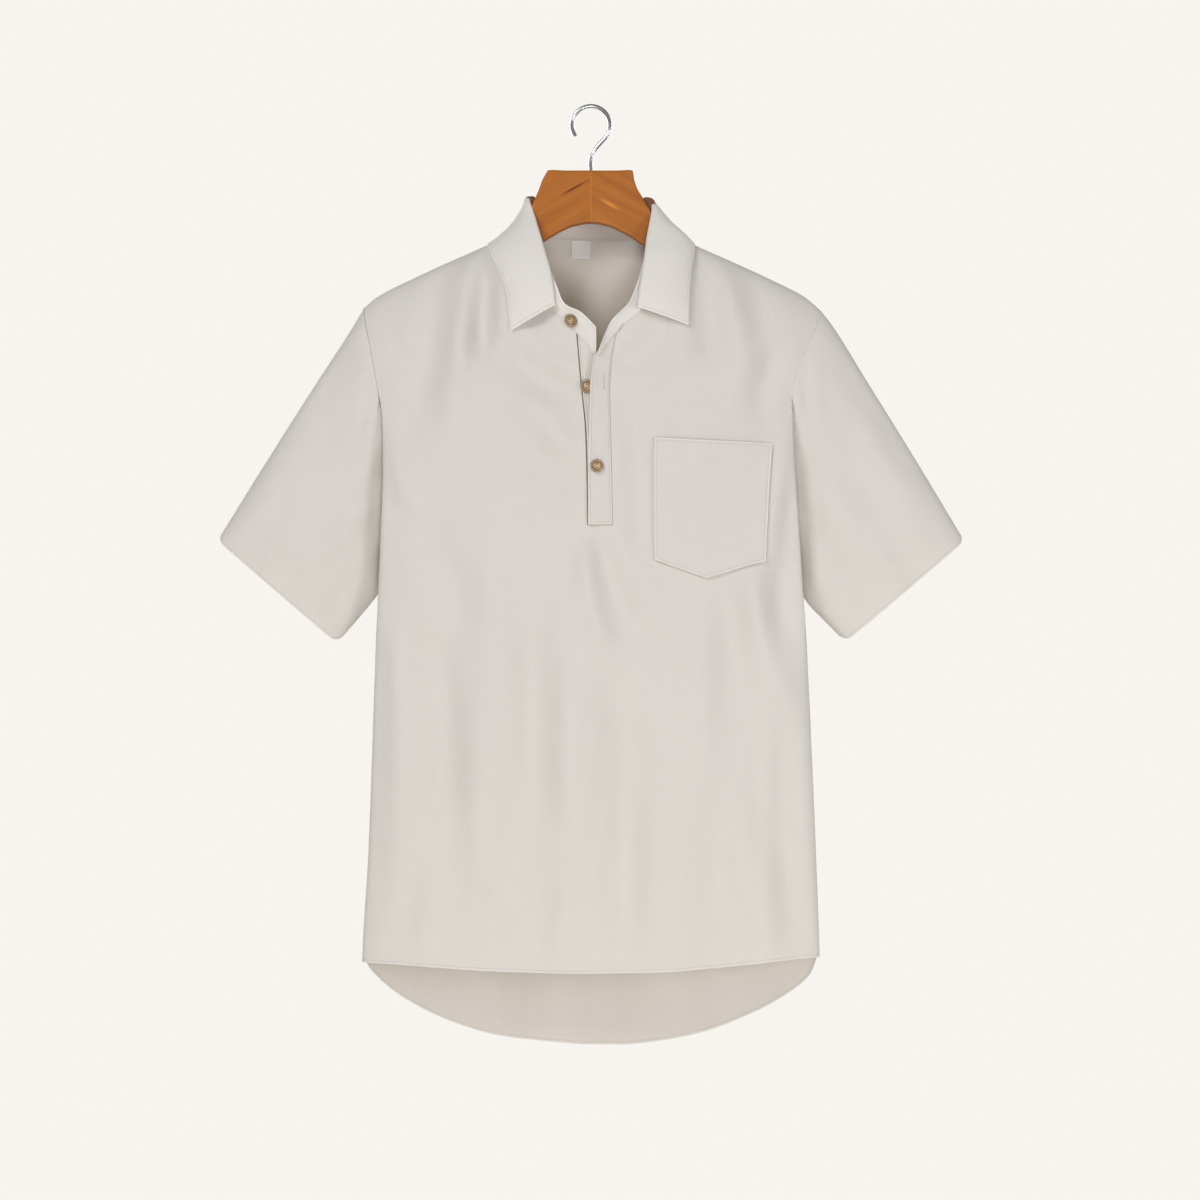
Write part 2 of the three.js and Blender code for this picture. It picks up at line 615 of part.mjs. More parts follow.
const underGrid = stripGrid('slitLeft', 'underRight', -227.4, -254, 0.5, (across) => -UNDER_SINK * across);
const overGrid = stripGrid('overLeft', 'overRight', -250.6, -227.4, 0,
  (across, z) => slit('lift', z) * (1 - across) ** 1.3);
add('placket_under', wall(underGrid, TRIM), 'cloth');
add('placket_over', wall(overGrid, TRIM), 'cloth');

// Pocket.

const POCKET = { left: 63.3, right: 179.5, topLeft: -331.5, topRight: -337.5, footLeft: -452.5,
  footRight: -453.5, narrow: 7.4, pointShare: 0.46, pointDrop: 17.2 };
const POCKET_CELLS = 10;
const POCKET_ROWS = 10;

const pocketGrid = [];
for (let row = 0; row <= POCKET_ROWS; row += 1) {
  const down = row / POCKET_ROWS;
  const line = [];
  for (let cell = 0; cell <= POCKET_CELLS; cell += 1) {
    const share = cell <= POCKET_CELLS / 2
      ? POCKET.pointShare * (cell / (POCKET_CELLS / 2))
      : mix(POCKET.pointShare, 1, cell / (POCKET_CELLS / 2) - 1);
    const left = share <= POCKET.pointShare;
    const beside = left ? share / POCKET.pointShare : (1 - share) / (1 - POCKET.pointShare);
    const top = mix(POCKET.topLeft, POCKET.topRight, share);
    const foot = mix(POCKET.footLeft, POCKET.footRight, share) - POCKET.pointDrop * beside;
    const x = mix(POCKET.left, POCKET.right - POCKET.narrow * down, share);
    const z = mix(top, foot, down);
    const { point } = onPanel(frontGrid, x, z);
    line.push(point.addScaledVector(clothNormal(x, z), (CLOTH + TRIM) / 2 + LAY_GAP));
  }
  pocketGrid.push(line);
}
add('pocket', wall(pocketGrid, TRIM), 'cloth');

// Collar.

// Band round the neck, from the photo's left end over the back to the right end. seam: its lower
// edge on the neck line, seamOut: how far that lies in front of the front's surface. top: its upper
// edge.
const BAND = [
  { seamX: 5.1, seamZ: -248.6, seamOut: 1.6, topX: 5.1, topY: -54, topZ: -222.6 },
  { seamX: -14.4, seamZ: -225.6, seamOut: 0.4, topX: -9.8, topY: -53, topZ: -207.7 },
  { seamX: -33.8, seamZ: -207.8, seamOut: 0, topX: -25.5, topY: -50, topZ: -199.5 },
  { seamX: -45.2, seamZ: -193.4, seamOut: 0, topX: -33.5, topY: -45.5, topZ: -182 },
  { seamX: -57.2, seamZ: -175, seamOut: 0, topX: -39.5, topY: -40, topZ: -166 },
  { seamX: -67, seamZ: -155.4, seamOut: 0, topX: -46, topY: -32, topZ: -148 },
  { seamX: -74, seamZ: -139.4, seamOut: 0, topX: -53, topY: -21, topZ: -126 },
  { seamX: -77.3, seamZ: -124, seamOut: 0, topX: -63.5, topY: 0, topZ: -95.5 },
  { seamX: -66, seamZ: -125.7, seamOut: 0, topX: -56, topY: 21, topZ: -92 },
  { seamX: -36, seamZ: -127.5, seamOut: 0, topX: -31, topY: 33, topZ: -90.5 },
  { seamX: 0, seamZ: -128.1, seamOut: 0, topX: 0, topY: 37, topZ: -90 },
  { seamX: 36, seamZ: -127.5, seamOut: 0, topX: 31, topY: 33, topZ: -91.5 },
  { seamX: 66, seamZ: -125.7, seamOut: 0, topX: 56, topY: 21, topZ: -94.5 },
  { seamX: 77.3, seamZ: -124, seamOut: 0, topX: 62.5, topY: -1, topZ: -101 },
  { seamX: 75.6, seamZ: -142.4, seamOut: 0, topX: 56.5, topY: -19, topZ: -129 },
  { seamX: 69.2, seamZ: -163.8, seamOut: 0, topX: 52.5, topY: -30, topZ: -153 },
  { seamX: 59.2, seamZ: -186.4, seamOut: 0, topX: 46, topY: -38, topZ: -177 },
  { seamX: 47.9, seamZ: -204.9, seamOut: 0, topX: 37, topY: -43, topZ: -198.5 },
  { seamX: 37.4, seamZ: -214.2, seamOut: 0.2, topX: 28.8, topY: -46, topZ: -207 },
  { seamX: 25.4, seamZ: -225.6, seamOut: 1.2, topX: 20, topY: -50, topZ: -216.5 },
  { seamX: 6.6, seamZ: -248.8, seamOut: 5.4, topX: 12.6, topY: -56, topZ: -232.5 },
];
const BAND_ROWS = 3;
const BAND_CELLS = 40;
const BAND_BULGE = 1.6;

const throughPoints = (points) => new THREE.CatmullRomCurve3(points, false, 'centripetal');
const bandSeam = throughPoints(BAND.map(({ seamX, seamZ, seamOut }) => {
  const place = bodyAt('front', seamX, Math.min(seamZ, topLine('front', seamX)));
  const isBack = seamZ > -129 && Math.abs(seamX) < 70;
  const point = isBack ? bodyAt('back', seamX, seamZ) : place;
  return new THREE.Vector3(seamX, point.y - seamOut, seamZ);
}));
const bandTop = throughPoints(BAND.map(({ topX, topY, topZ }) => new THREE.Vector3(topX, topY, topZ)));

const bandGrid = Array.from({ length: BAND_ROWS + 1 }, (unused, row) => {
  const up = row / BAND_ROWS;
  const line = [];
  for (let cell = 0; cell <= BAND_CELLS; cell += 1) {
    const seam = bandSeam.getPoint(cell / BAND_CELLS);
    const top = bandTop.getPoint(cell / BAND_CELLS);
    const point = seam.clone().lerp(top, up);
    const outward = new THREE.Vector3(point.x, point.y, 0).normalize();
    line.push(point.addScaledVector(outward, BAND_BULGE * 4 * up * (1 - up)));
  }
  return line;
});
add('collar_stand', wall(bandGrid, CLOTH), 'cloth');

// Falling part of the collar: fold is its upper roll, edge its outer edge, edgeLift how far that
// stands off the body, crown how far it arches between the two.
const LEAF = [
  { foldX: -37.6, foldY: -53.5, foldZ: -202, edgeX: -78.5, edgeZ: -225.5, edgeLift: 3.4, crown: 2 },
  { foldX: -39, foldY: -51, foldZ: -188, edgeX: -81, edgeZ: -208, edgeLift: 3, crown: 3 },
  { foldX: -41.5, foldY: -46.5, foldZ: -170, edgeX: -83.5, edgeZ: -186, edgeLift: 3, crown: 4 },
  { foldX: -46.5, foldY: -38, foldZ: -150, edgeX: -89.5, edgeZ: -168, edgeLift: 3, crown: 6 },
  { foldX: -53, foldY: -27, foldZ: -129, edgeX: -96.5, edgeZ: -154, edgeLift: 3, crown: 5 },
  { foldX: -60, foldY: -13, foldZ: -108, edgeX: -101, edgeZ: -143, edgeLift: 3, crown: 1.5 },
  { foldX: -66, foldY: 2, foldZ: -91.5, edgeX: -103.5, edgeZ: -134.6, edgeLift: 0, crown: -2.5 },
  { foldX: -58.5, foldY: 24.5, foldZ: -89, edgeX: -90, edgeZ: -141, edgeLift: 3, crown: 2 },
  { foldX: -33, foldY: 36.5, foldZ: -87.5, edgeX: -48, edgeZ: -144, edgeLift: 4, crown: 6 },
  { foldX: 0, foldY: 40.5, foldZ: -87, edgeX: 0, edgeZ: -145, edgeLift: 5, crown: 6 },
  { foldX: 33, foldY: 36.5, foldZ: -88.5, edgeX: 48, edgeZ: -144, edgeLift: 4, crown: 6 },
  { foldX: 58.5, foldY: 24.5, foldZ: -91, edgeX: 90, edgeZ: -141, edgeLift: 3, crown: 2 },
  { foldX: 65, foldY: 1, foldZ: -97, edgeX: 103.5, edgeZ: -134.6, edgeLift: 0, crown: -0.8 },
  { foldX: 61.8, foldY: -14, foldZ: -114, edgeX: 103, edgeZ: -142, edgeLift: 3, crown: 7.8 },
  { foldX: 58, foldY: -26, foldZ: -132, edgeX: 101.5, edgeZ: -152, edgeLift: 3, crown: 7.5 },
  { foldX: 55.5, foldY: -37, foldZ: -151, edgeX: 99, edgeZ: -166, edgeLift: 3, crown: 6 },
  { foldX: 52.5, foldY: -46, foldZ: -172, edgeX: 97.2, edgeZ: -184, edgeLift: 3, crown: 4 },
  { foldX: 50, foldY: -51, foldZ: -189, edgeX: 96.4, edgeZ: -204, edgeLift: 3, crown: 3 },
  { foldX: 48.6, foldY: -53.5, foldZ: -203.5, edgeX: 96.2, edgeZ: -220, edgeLift: 3.4, crown: 2 },
];
const LEAF_ROWS = 5;
const LEAF_CELLS = 44;

const leafFold = throughPoints(LEAF.map(({ foldX, foldY, foldZ }) => new THREE.Vector3(foldX, foldY, foldZ)));
const leafEdge = throughPoints(LEAF.map(({ edgeX, edgeZ, edgeLift }, row) => {
  const face = row > 6 && row < 12 ? 'back' : 'front';
  const point = bodyAt(face, edgeX, edgeZ);
  point.y += (face === 'front' ? -1 : 1) * edgeLift;
  if (edgeLift === 0) point.y = 2;
  return point;
}));
const leafCrown = throughPoints(LEAF.map(({ crown }, row) => new THREE.Vector3(crown, row, 0)));

const leafGrid = Array.from({ length: LEAF_ROWS + 1 }, (unused, row) => {
  const out = row / LEAF_ROWS;
  const line = [];
  for (let cell = 0; cell <= LEAF_CELLS; cell += 1) {
    const fold = leafFold.getPoint(cell / LEAF_CELLS);
    const edge = leafEdge.getPoint(cell / LEAF_CELLS);
    const crown = leafCrown.getPoint(cell / LEAF_CELLS).x;
    const point = fold.clone().lerp(edge, out);
    const outward = new THREE.Vector3(point.x * 0.6, point.y, 8).normalize();
    line.push(point.addScaledVector(outward, crown * 4 * out * (1 - out)));
  }
  return line;
});
add('collar_leaf', wall(leafGrid, CLOTH), 'cloth');

// Neck label.

const LABEL = { left: -19.4, right: -1.2, top: -130.6, foot: -148, cells: 2 };
const labelGrid = [];
for (let row = 0; row <= LABEL.cells; row += 1) {
  const line = [];
  for (let cell = 0; cell <= LABEL.cells; cell += 1) {
    const x = mix(LABEL.left, LABEL.right, cell / LABEL.cells);
    const z = mix(LABEL.top, LABEL.foot, row / LABEL.cells);
    const { point } = onPanel(backGrid, x, z);
    point.y -= CLOTH / 2 + LAY_GAP + LABEL_WALL / 2 + 0.3 * (row / LABEL.cells);
    line.push(point);
  }
  labelGrid.push(line);
}
add('neck_label', wall(labelGrid, LABEL_WALL), 'label');

// Solids cut and joined.

function toSolid(geometry) {
  const flat = geometry.index ? geometry.toNonIndexed() : geometry;
  const mesh = new wasm.Mesh({
    numProp: 3,
    vertProperties: Float32Array.from(flat.attributes.position.array),
    triVerts: Uint32Array.from({ length: flat.attributes.position.count }, (unused, at) => at),
  });
  mesh.merge();
  return new wasm.Manifold(mesh);
}

function toGeometry(solid) {
  const { vertProperties, triVerts } = solid.getMesh();
  const geometry = new THREE.BufferGeometry();
  geometry.setAttribute('position', new THREE.Float32BufferAttribute(vertProperties, 3));
  geometry.setIndex(Array.from(triVerts));
  geometry.computeVertexNormals();
  return geometry;
}

// Buttons.

const BUTTON_SIDES = 24;
const HOLE_SIDES = 8;
const BUTTON_PROFILE = [
  [0, 0],
  [BUTTON_RADIUS - 0.9, 0],
  [BUTTON_RADIUS, 0.8],
  [BUTTON_RADIUS, BUTTON_HEIGHT - 0.5],
  [BUTTON_RADIUS - 0.6, BUTTON_HEIGHT],
  [BUTTON_RADIUS - 1.3, BUTTON_HEIGHT],
  [BUTTON_RADIUS - 2.1, BUTTON_HEIGHT - BUTTON_RIM],
  [0, BUTTON_HEIGHT - BUTTON_RIM],
].map(([radius, height]) => new THREE.Vector2(radius, height));

// A two-hole button whose back lies on the y = 0 plane and whose face looks towards +Y. Its holes lie
// on the Z axis.
function buttonSolid() {
  let solid = toSolid(new THREE.LatheGeometry(BUTTON_PROFILE, BUTTON_SIDES));
  for (const up of [-1, 1]) {
    const radius = BUTTON_HOLE_RADIUS;
    const hole = new THREE.CylinderGeometry(radius, radius, 4 * BUTTON_HEIGHT, HOLE_SIDES);
    hole.translate(0, 0, up * BUTTON_HOLE_OFFSET);
    solid = solid.subtract(toSolid(hole));
  }
  return solid;
}

// Each button lies on the cloth that carries it, at a place in the front view. stand: its gap. turn: from
// upright to the line through its holes.
const BUTTONS = [
  { name: 'button_stand', carrier: bandGrid, wallOf: CLOTH, x: -19, z: -215.5, stand: 0.35, turn: 2.1 },
  { name: 'button_middle', carrier: underGrid, wallOf: TRIM, x: -3.8, z: -280.8, stand: 0.35, turn: 0.15 },
  { name: 'button_lowest', carrier: overGrid, wallOf: TRIM, x: 6, z: -359.8, stand: 0.35, turn: 0 },
];
for (const { name, carrier, wallOf, x, z, stand, turn } of BUTTONS) {
  const { point, normal } = onPanel(carrier, x, z);
  const seat = point.addScaledVector(normal, wallOf / 2 + stand);
  const holes = new THREE.Vector3(Math.sin(turn), 0, Math.cos(turn));
  holes.addScaledVector(normal, -holes.dot(normal)).normalize();
  const geometry = toGeometry(buttonSolid());
  geometry.applyMatrix4(new THREE.Matrix4().makeBasis(normal.clone().cross(holes), normal, holes));
  geometry.translate(seat.x, seat.y, seat.z);
  add(name, geometry, 'button');
}

// Hanger.

const HANGER_MIDDLE = 15;          // thickness at the ridge between its two arms
const HANGER_ARM = 12;             // and in the arms
const HANGER_BEVEL = 2;
const RIDGE_REACH = 60;

// The neck's right flank from its flat top down to the arm, and its left one, which leans a little more.
const NECK_RIGHT_FLANK = [
  [41.5, -63],
  [44.5, -75],
  [52, -90],
  [60.5, -106.5],
  [67, -122],
];
const NECK_LEFT_FLANK = [
  [-43.5, -63],
  [-48.6, -72],
  [-52.4, -82],
  [-56.6, -92],
  [-61.3, -102],
  [-65.6, -113],
  [-68, -122],
];
// Half of the rest of the outline, from the shoulder of the neck round the arm to the arch.
const HANGER_ARM_LINE = [
  [76, -134],
  [103, -142.4],
  [144, -160.4],
  [184, -179],
  [205, -190.4],
  [213, -198],
  [214, -205],
  [207, -210],
  [184, -204],
  [144, -187],
  [103, -169],
  [76, -154],
  [54, -139],
  [36, -127],
  [18, -118.5],
];
const HANGER_ARCH_TOP = [0, -115.5];

function hangerGeometry() {
  const leftArm = HANGER_ARM_LINE.map(([x, z]) => [-x, z]).reverse();
  const right = [...NECK_RIGHT_FLANK, ...HANGER_ARM_LINE, HANGER_ARCH_TOP];
  const left = [...leftArm, ...NECK_LEFT_FLANK.toReversed()];
  const shape = new THREE.Shape([...right, ...left].map(([x, z]) => new THREE.Vector2(x, z)));
  const geometry = new THREE.ExtrudeGeometry(shape, {
    depth: HANGER_MIDDLE - 2 * HANGER_BEVEL,
    bevelEnabled: true,
    bevelThickness: HANGER_BEVEL,
    bevelSize: HANGER_BEVEL,
    bevelOffset: -HANGER_BEVEL,
    bevelSegments: 2,
    steps: 1,
  });
  geometry.translate(0, 0, -(HANGER_MIDDLE - 2 * HANGER_BEVEL) / 2);
  geometry.rotateX(Math.PI / 2);
  const spots = geometry.attributes.position;
  for (let at = 0; at < spots.count; at += 1) {
    const share = Math.min(1, Math.abs(spots.getX(at)) / RIDGE_REACH);
    spots.setY(at, spots.getY(at) * mix(1, HANGER_ARM / HANGER_MIDDLE, share));
  }
  return geometry;
}
add('hanger', hangerGeometry(), 'wood');

// Hook.

const WIRE_RADIUS = 2;
const HOOK_INNER_RADIUS = 17;
const WIRE_SIDES = 10;
const HOOK_STEPS = 44;
const HOOK_BEND = HOOK_INNER_RADIUS + WIRE_RADIUS;
const HOOK_FOOT = -62.7;

function hookGeometry() {
  const points = [new THREE.Vector3(0, 0, HOOK_FOOT), new THREE.Vector3(0, 0, -52)];
  points.push(new THREE.Vector3(3, 0, -43));
  for (let degrees = -35; degrees <= 215; degrees += 25) {
    const angle = THREE.MathUtils.degToRad(degrees);
    const height = HOOK_BEND * Math.sin(angle) - HOOK_INNER_RADIUS;
    points.push(new THREE.Vector3(HOOK_BEND * Math.cos(angle), 0, height));
  }
  const path = throughPoints(points);
  const ring = new THREE.Shape();
  for (let side = 0; side < WIRE_SIDES; side += 1) {
    const angle = (side / WIRE_SIDES) * 2 * Math.PI;
    const [x, y] = [WIRE_RADIUS * Math.cos(angle), WIRE_RADIUS * Math.sin(angle)];
    if (side === 0) ring.moveTo(x, y);
    else ring.lineTo(x, y);
  }
  return new THREE.ExtrudeGeometry(ring, { steps: HOOK_STEPS, extrudePath: path, bevelEnabled: false });
}
add('hook', hookGeometry(), 'hook');

export default shirt;
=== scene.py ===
"""A short-sleeved popover shirt with a half placket, hanging open-necked on a wooden hanger.

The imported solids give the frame. Every cloth piece is a fine thin shell on its solid's form, worked
out from the same named sizes, with creases, turned hems and stitching added. Lengths are written in
millimetres and turned to metres when a mesh is made. +Z is up and the shirt's front faces -Y.
"""

import logging
import math
from dataclasses import dataclass
from enum import Enum
from typing import Callable, Iterable, Sequence

import bpy
import numpy as np
from bpy.types import Material, Node, NodeSocket, NodeTree, Object
from mathutils import Matrix, Vector


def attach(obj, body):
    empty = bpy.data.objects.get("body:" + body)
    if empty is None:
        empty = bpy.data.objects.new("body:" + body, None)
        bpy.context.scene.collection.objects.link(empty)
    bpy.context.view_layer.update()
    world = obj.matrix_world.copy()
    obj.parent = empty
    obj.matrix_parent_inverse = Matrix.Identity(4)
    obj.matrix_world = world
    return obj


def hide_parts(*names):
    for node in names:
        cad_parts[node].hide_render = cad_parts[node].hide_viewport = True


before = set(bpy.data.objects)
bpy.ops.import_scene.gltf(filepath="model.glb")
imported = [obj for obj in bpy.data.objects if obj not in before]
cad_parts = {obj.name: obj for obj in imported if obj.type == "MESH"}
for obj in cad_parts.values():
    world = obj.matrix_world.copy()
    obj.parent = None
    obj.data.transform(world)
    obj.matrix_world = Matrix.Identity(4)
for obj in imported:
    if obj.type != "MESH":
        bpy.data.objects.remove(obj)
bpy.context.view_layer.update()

MM = 0.001
Array = np.ndarray
log = logging.getLogger("shirt")


class Face(Enum):
    """The two panels of the body, with the sign of their Y."""

    FRONT = -1
    BACK = 1


class Side(Enum):
    """The two sleeves as the photo shows them, with the sign of their X."""

    LEFT = -1
    RIGHT = 1


# Sizes and tables of the form


class Table:
    """Rows of a form with named columns, read smoothly between rows without overshooting."""

    def __init__(self, columns: str, *rows: Sequence[float]) -> None:
        """Keeps the rows.

        Args:
            columns: The columns' names, the ordering one first.
            rows: The rows, rising or falling in the ordering column.
        """
        names = columns.split()
        ordered = sorted(rows, key=lambda row: row[0])
        self.key = names[0]
        self.columns = {name: np.array([row[at] for row in ordered], float) for at, name in enumerate(names)}
        self.rows = [dict(zip(names, row)) for row in rows]

    def read(self, column: str, at: Array | float) -> Array:
        """Value of a column.

        Args:
            column: The column's name.
            at: Where, in the ordering column.

        Returns:
            The values, with the ends held beyond the first and last row.
        """
        place, value = self.columns[self.key], self.columns[column]
        slope = np.diff(value) / np.diff(place)
        before, after = slope[:-1], slope[1:]
        both = np.where(before * after > 0, before + after, 1.0)
        inner = np.where(before * after > 0, 2 * before * after / both, 0.0)
        tangent = np.concatenate([slope[:1], inner, slope[-1:]])
        at = np.clip(at, place[0], place[-1])
        row = np.clip(np.searchsorted(place, at, side="right") - 1, 0, len(place) - 2)
        span = place[row + 1] - place[row]
        part = (at - place[row]) / span
        cube, square = part**3, part**2
        return (
            (2 * cube - 3 * square + 1) * value[row]
            + (cube - 2 * square + part) * span * tangent[row]
            + (3 * square - 2 * cube) * value[row + 1]
            + (cube - square) * span * tangent[row + 1]
        )


# Half widths and depths of the body, level by level: at its outermost fold, at the panels' side
# edge, and in the middle. roll is 2 where the cloth runs off flat, 1 where it turns over a fold.
LEVELS = Table(
    "z fold_left fold_right edge_left edge_right front_edge front_fold front_middle "
    "back_edge back_fold back_middle roll",
    (-85, 226, 229, 226, 229, 23, 23, 40, 21, 21, 34, 2),
    (-203, 226, 229, 226, 229, 25, 25, 45, 23, 23, 37, 2),
    (-243, 219, 213, 219, 213, 27, 27, 48, 25, 25, 38, 2),
    (-287, 211, 200, 211, 200, 29, 29, 50, 26, 26, 40, 1.8),
    (-318, 207.2, 201, 206.6, 200, 25, 32, 51, 22, 27, 41, 1.4),
    (-363, 206.6, 203, 204, 200.5, 17, 35, 52, 15, 28, 42, 1),
    (-420, 208.4, 206.5, 203, 201.5, 9, 35, 52, 8, 28, 42, 1),
    (-467, 210.5, 209.7, 200, 200, 0, 34, 52, 0, 28, 42, 0.9),
    (-541, 214, 214.7, 203, 204, 0, 31, 51, 0, 27, 42, 0.9),
    (-641, 217.6, 219.5, 209.5, 211.5, 0, 28, 50, 0, 25, 41, 0.9),
    (-741, 221.5, 224, 217.5, 220, 0, 24, 48, 0, 21, 40, 0.9),
    (-850, 228, 228, 227.5, 227.5, 0, 19, 46, 0, 17, 39, 0.9),
    (-960, 230, 230, 229.5, 229.5, 0, 18, 45, 0, 16, 38, 0.9),
)
SHOULDER = Table(
    "x z", (0, -85), (60, -113), (78, -125), (103, -136.6), (144, -154.8), (184, -173.4), (214, -189),
    (230, -202.5),
)
NECK_LEFT = Table(
    "x z", (-78, -125), (-75, -140), (-68, -156), (-58, -175.5), (-46, -194), (-34.4, -208.7), (-14.7, -226.5),
    (5.1, -249),
)
NECK_RIGHT = Table(
    "x z", (5.1, -250), (25.8, -226.5), (38, -215), (48.5, -205.7), (60, -187), (70, -164.5), (76.5, -143),
    (78, -125),
)
NECK_BACK = Table("x z", (-78, -125), (-52, -128), (0, -129), (52, -128), (78, -125))
PLACKET = Table(
    "z slit_left under_right over_left over_right slit_right lift",
    (-226, -14.7, 10, 6, 25.3, 25.8, 3.2),
    (-256, -12.2, 12, 2.1, 20.3, 20.8, 5),
    (-281, -9.9, 12.5, -0.7, 18.4, 18.9, 6),
    (-324, -5.8, 12.5, -1.8, 19.2, 19.7, 3.6),
    (-363, -4.4, 12.5, -2.7, 20.2, 20.7, 2.3),
    (-418, -3.7, 12.5, -2.9, 21.3, 21.8, 2.3),
)
HEM_FRONT = Table(
    "x z", (-228, -852), (-189.5, -853.5), (-139, -857), (-80, -860), (0, -861.5), (58, -860.5), (108, -857.5),
    (167, -852), (207, -848), (228, -847),
)
HEM_BACK = Table(
    "x z", (-228, -853), (-221, -864.5), (-192, -890.5), (-142, -916.5), (-92, -931.5), (-41.5, -937.6),
    (0, -940.7), (29, -940.7), (70, -936.6), (110, -928.5), (160, -909.3), (200, -886.8), (221, -867.5),
    (228, -848),
)
NECK_HALF_WIDTH = 78.0
PLACKET_FOOT = -418.0
UNDERARM = -467.0
ROUND = {Face.FRONT: 120.0, Face.BACK: 100.0}
SEAM = 0.12  # from each panel's edge to the seam's plane
SHELL = 0.5  # the cloth's wall
SHELL_OUT = 0.5  # from the solid's middle to the cloth's, so that both have one outside


@dataclass(frozen=True)
class Fold:
    """A long soft fold of the body's form: rise stands out, or goes in where it is negative."""

    x: float
    top: float
    foot: float
    lean: float
    width: float
    rise: float

    def height(self, x: Array, z: Array) -> Array:
        """How far the fold moves the cloth outwards at each place."""
        away = (x - self.x - self.lean * (self.top - z)) / self.width
        length = self.top - self.foot
        start = smooth((self.top - z) / (0.4 * length))
        end = smooth((z - self.foot) / (0.3 * length))
        return self.rise * np.exp(-away * away) * start * end


@dataclass(frozen=True)
class Crease:
    """A finer crease along a bowed line seen from the front, fading towards both ends.

    width is its half width at the start and spread how much wider it is at the end, as a share.
    """

    start: tuple[float, float]
    end: tuple[float, float]
    width: float
    rise: float
    bow: float = 0.0
    spread: float = 0.6

    def height(self, x: Array, z: Array) -> Array:
        """How far the crease moves the cloth outwards at each place.

        Args:
            x: Places across in the front view.
            z: Their heights.

        Returns:
            The move in millimetres, inwards where it is negative.
        """
        run = np.subtract(self.end, self.start)
        length = float(np.hypot(*run))
        along = ((x - self.start[0]) * run[0] + (z - self.start[1]) * run[1]) / length**2
        aside = ((x - self.start[0]) * -run[1] + (z - self.start[1]) * run[0]) / length
        part = np.clip(along, 0, 1)
        away = (aside - self.bow * 4 * part * (1 - part)) / (self.width * (1 + self.spread * part))
        fade = smooth((along + 0.12) / 0.3) * smooth((1.12 - along) / 0.45)
        # A trough has a low shoulder on each side, as pushed cloth has.
        return self.rise * (np.exp(-away * away) - 0.28 * np.exp(-((np.abs(away) - 1.7) ** 2))) * fade


def smooth(part: Array | float) -> Array:
    """A soft step from 0 to 1."""
    part = np.clip(part, 0, 1)
    return part * part * (3 - 2 * part)


def mix(start: Array | float, end: Array | float, part: Array | float) -> Array:
    """The value a share of the way from start to end."""
    return start + (end - start) * part


FOLDS = {
    Face.FRONT: (
        Fold(-146, -455, -790, 0.03, 17, -4.5),
        Fold(-172, -520, -866, 0.02, 16, 3.5),
        Fold(-86, -610, -900, 0.05, 22, -4),
        Fold(-112, -560, -866, 0.01, 15, 3),
        Fold(-24, -470, -730, 0, 14, 3),
        Fold(12, -470, -580, -0.5, 13, -2.5),
        Fold(44, -560, -900, -0.03, 19, -4),
        Fold(92, -600, -900, -0.02, 18, 3.5),
        Fold(128, -480, -866, -0.03, 16, -3.5),
        Fold(158, -505, -830, -0.03, 15, 4),
        Fold(-48, -150, -330, -0.22, 13, -2),
        Fold(-122, -140, -260, 0.14, 12, -2.4),
        Fold(128, -140, -270, -0.12, 12, -2.4),
    ),
    Face.BACK: (
        Fold(-150, -430, -900, 0.02, 19, -4.5),
        Fold(-95, -520, -940, 0.02, 18, 4),
        Fold(-40, -420, -960, 0, 20, -4),
        Fold(30, -480, -960, -0.02, 19, 4),
        Fold(90, -400, -930, -0.02, 18, -4.5),
        Fold(145, -500, -890, -0.02, 17, 3.5),
        Fold(-118, -150, -300, 0.1, 15, -2.5),
        Fold(118, -150, -300, -0.1, 15, -2.5),
    ),
}
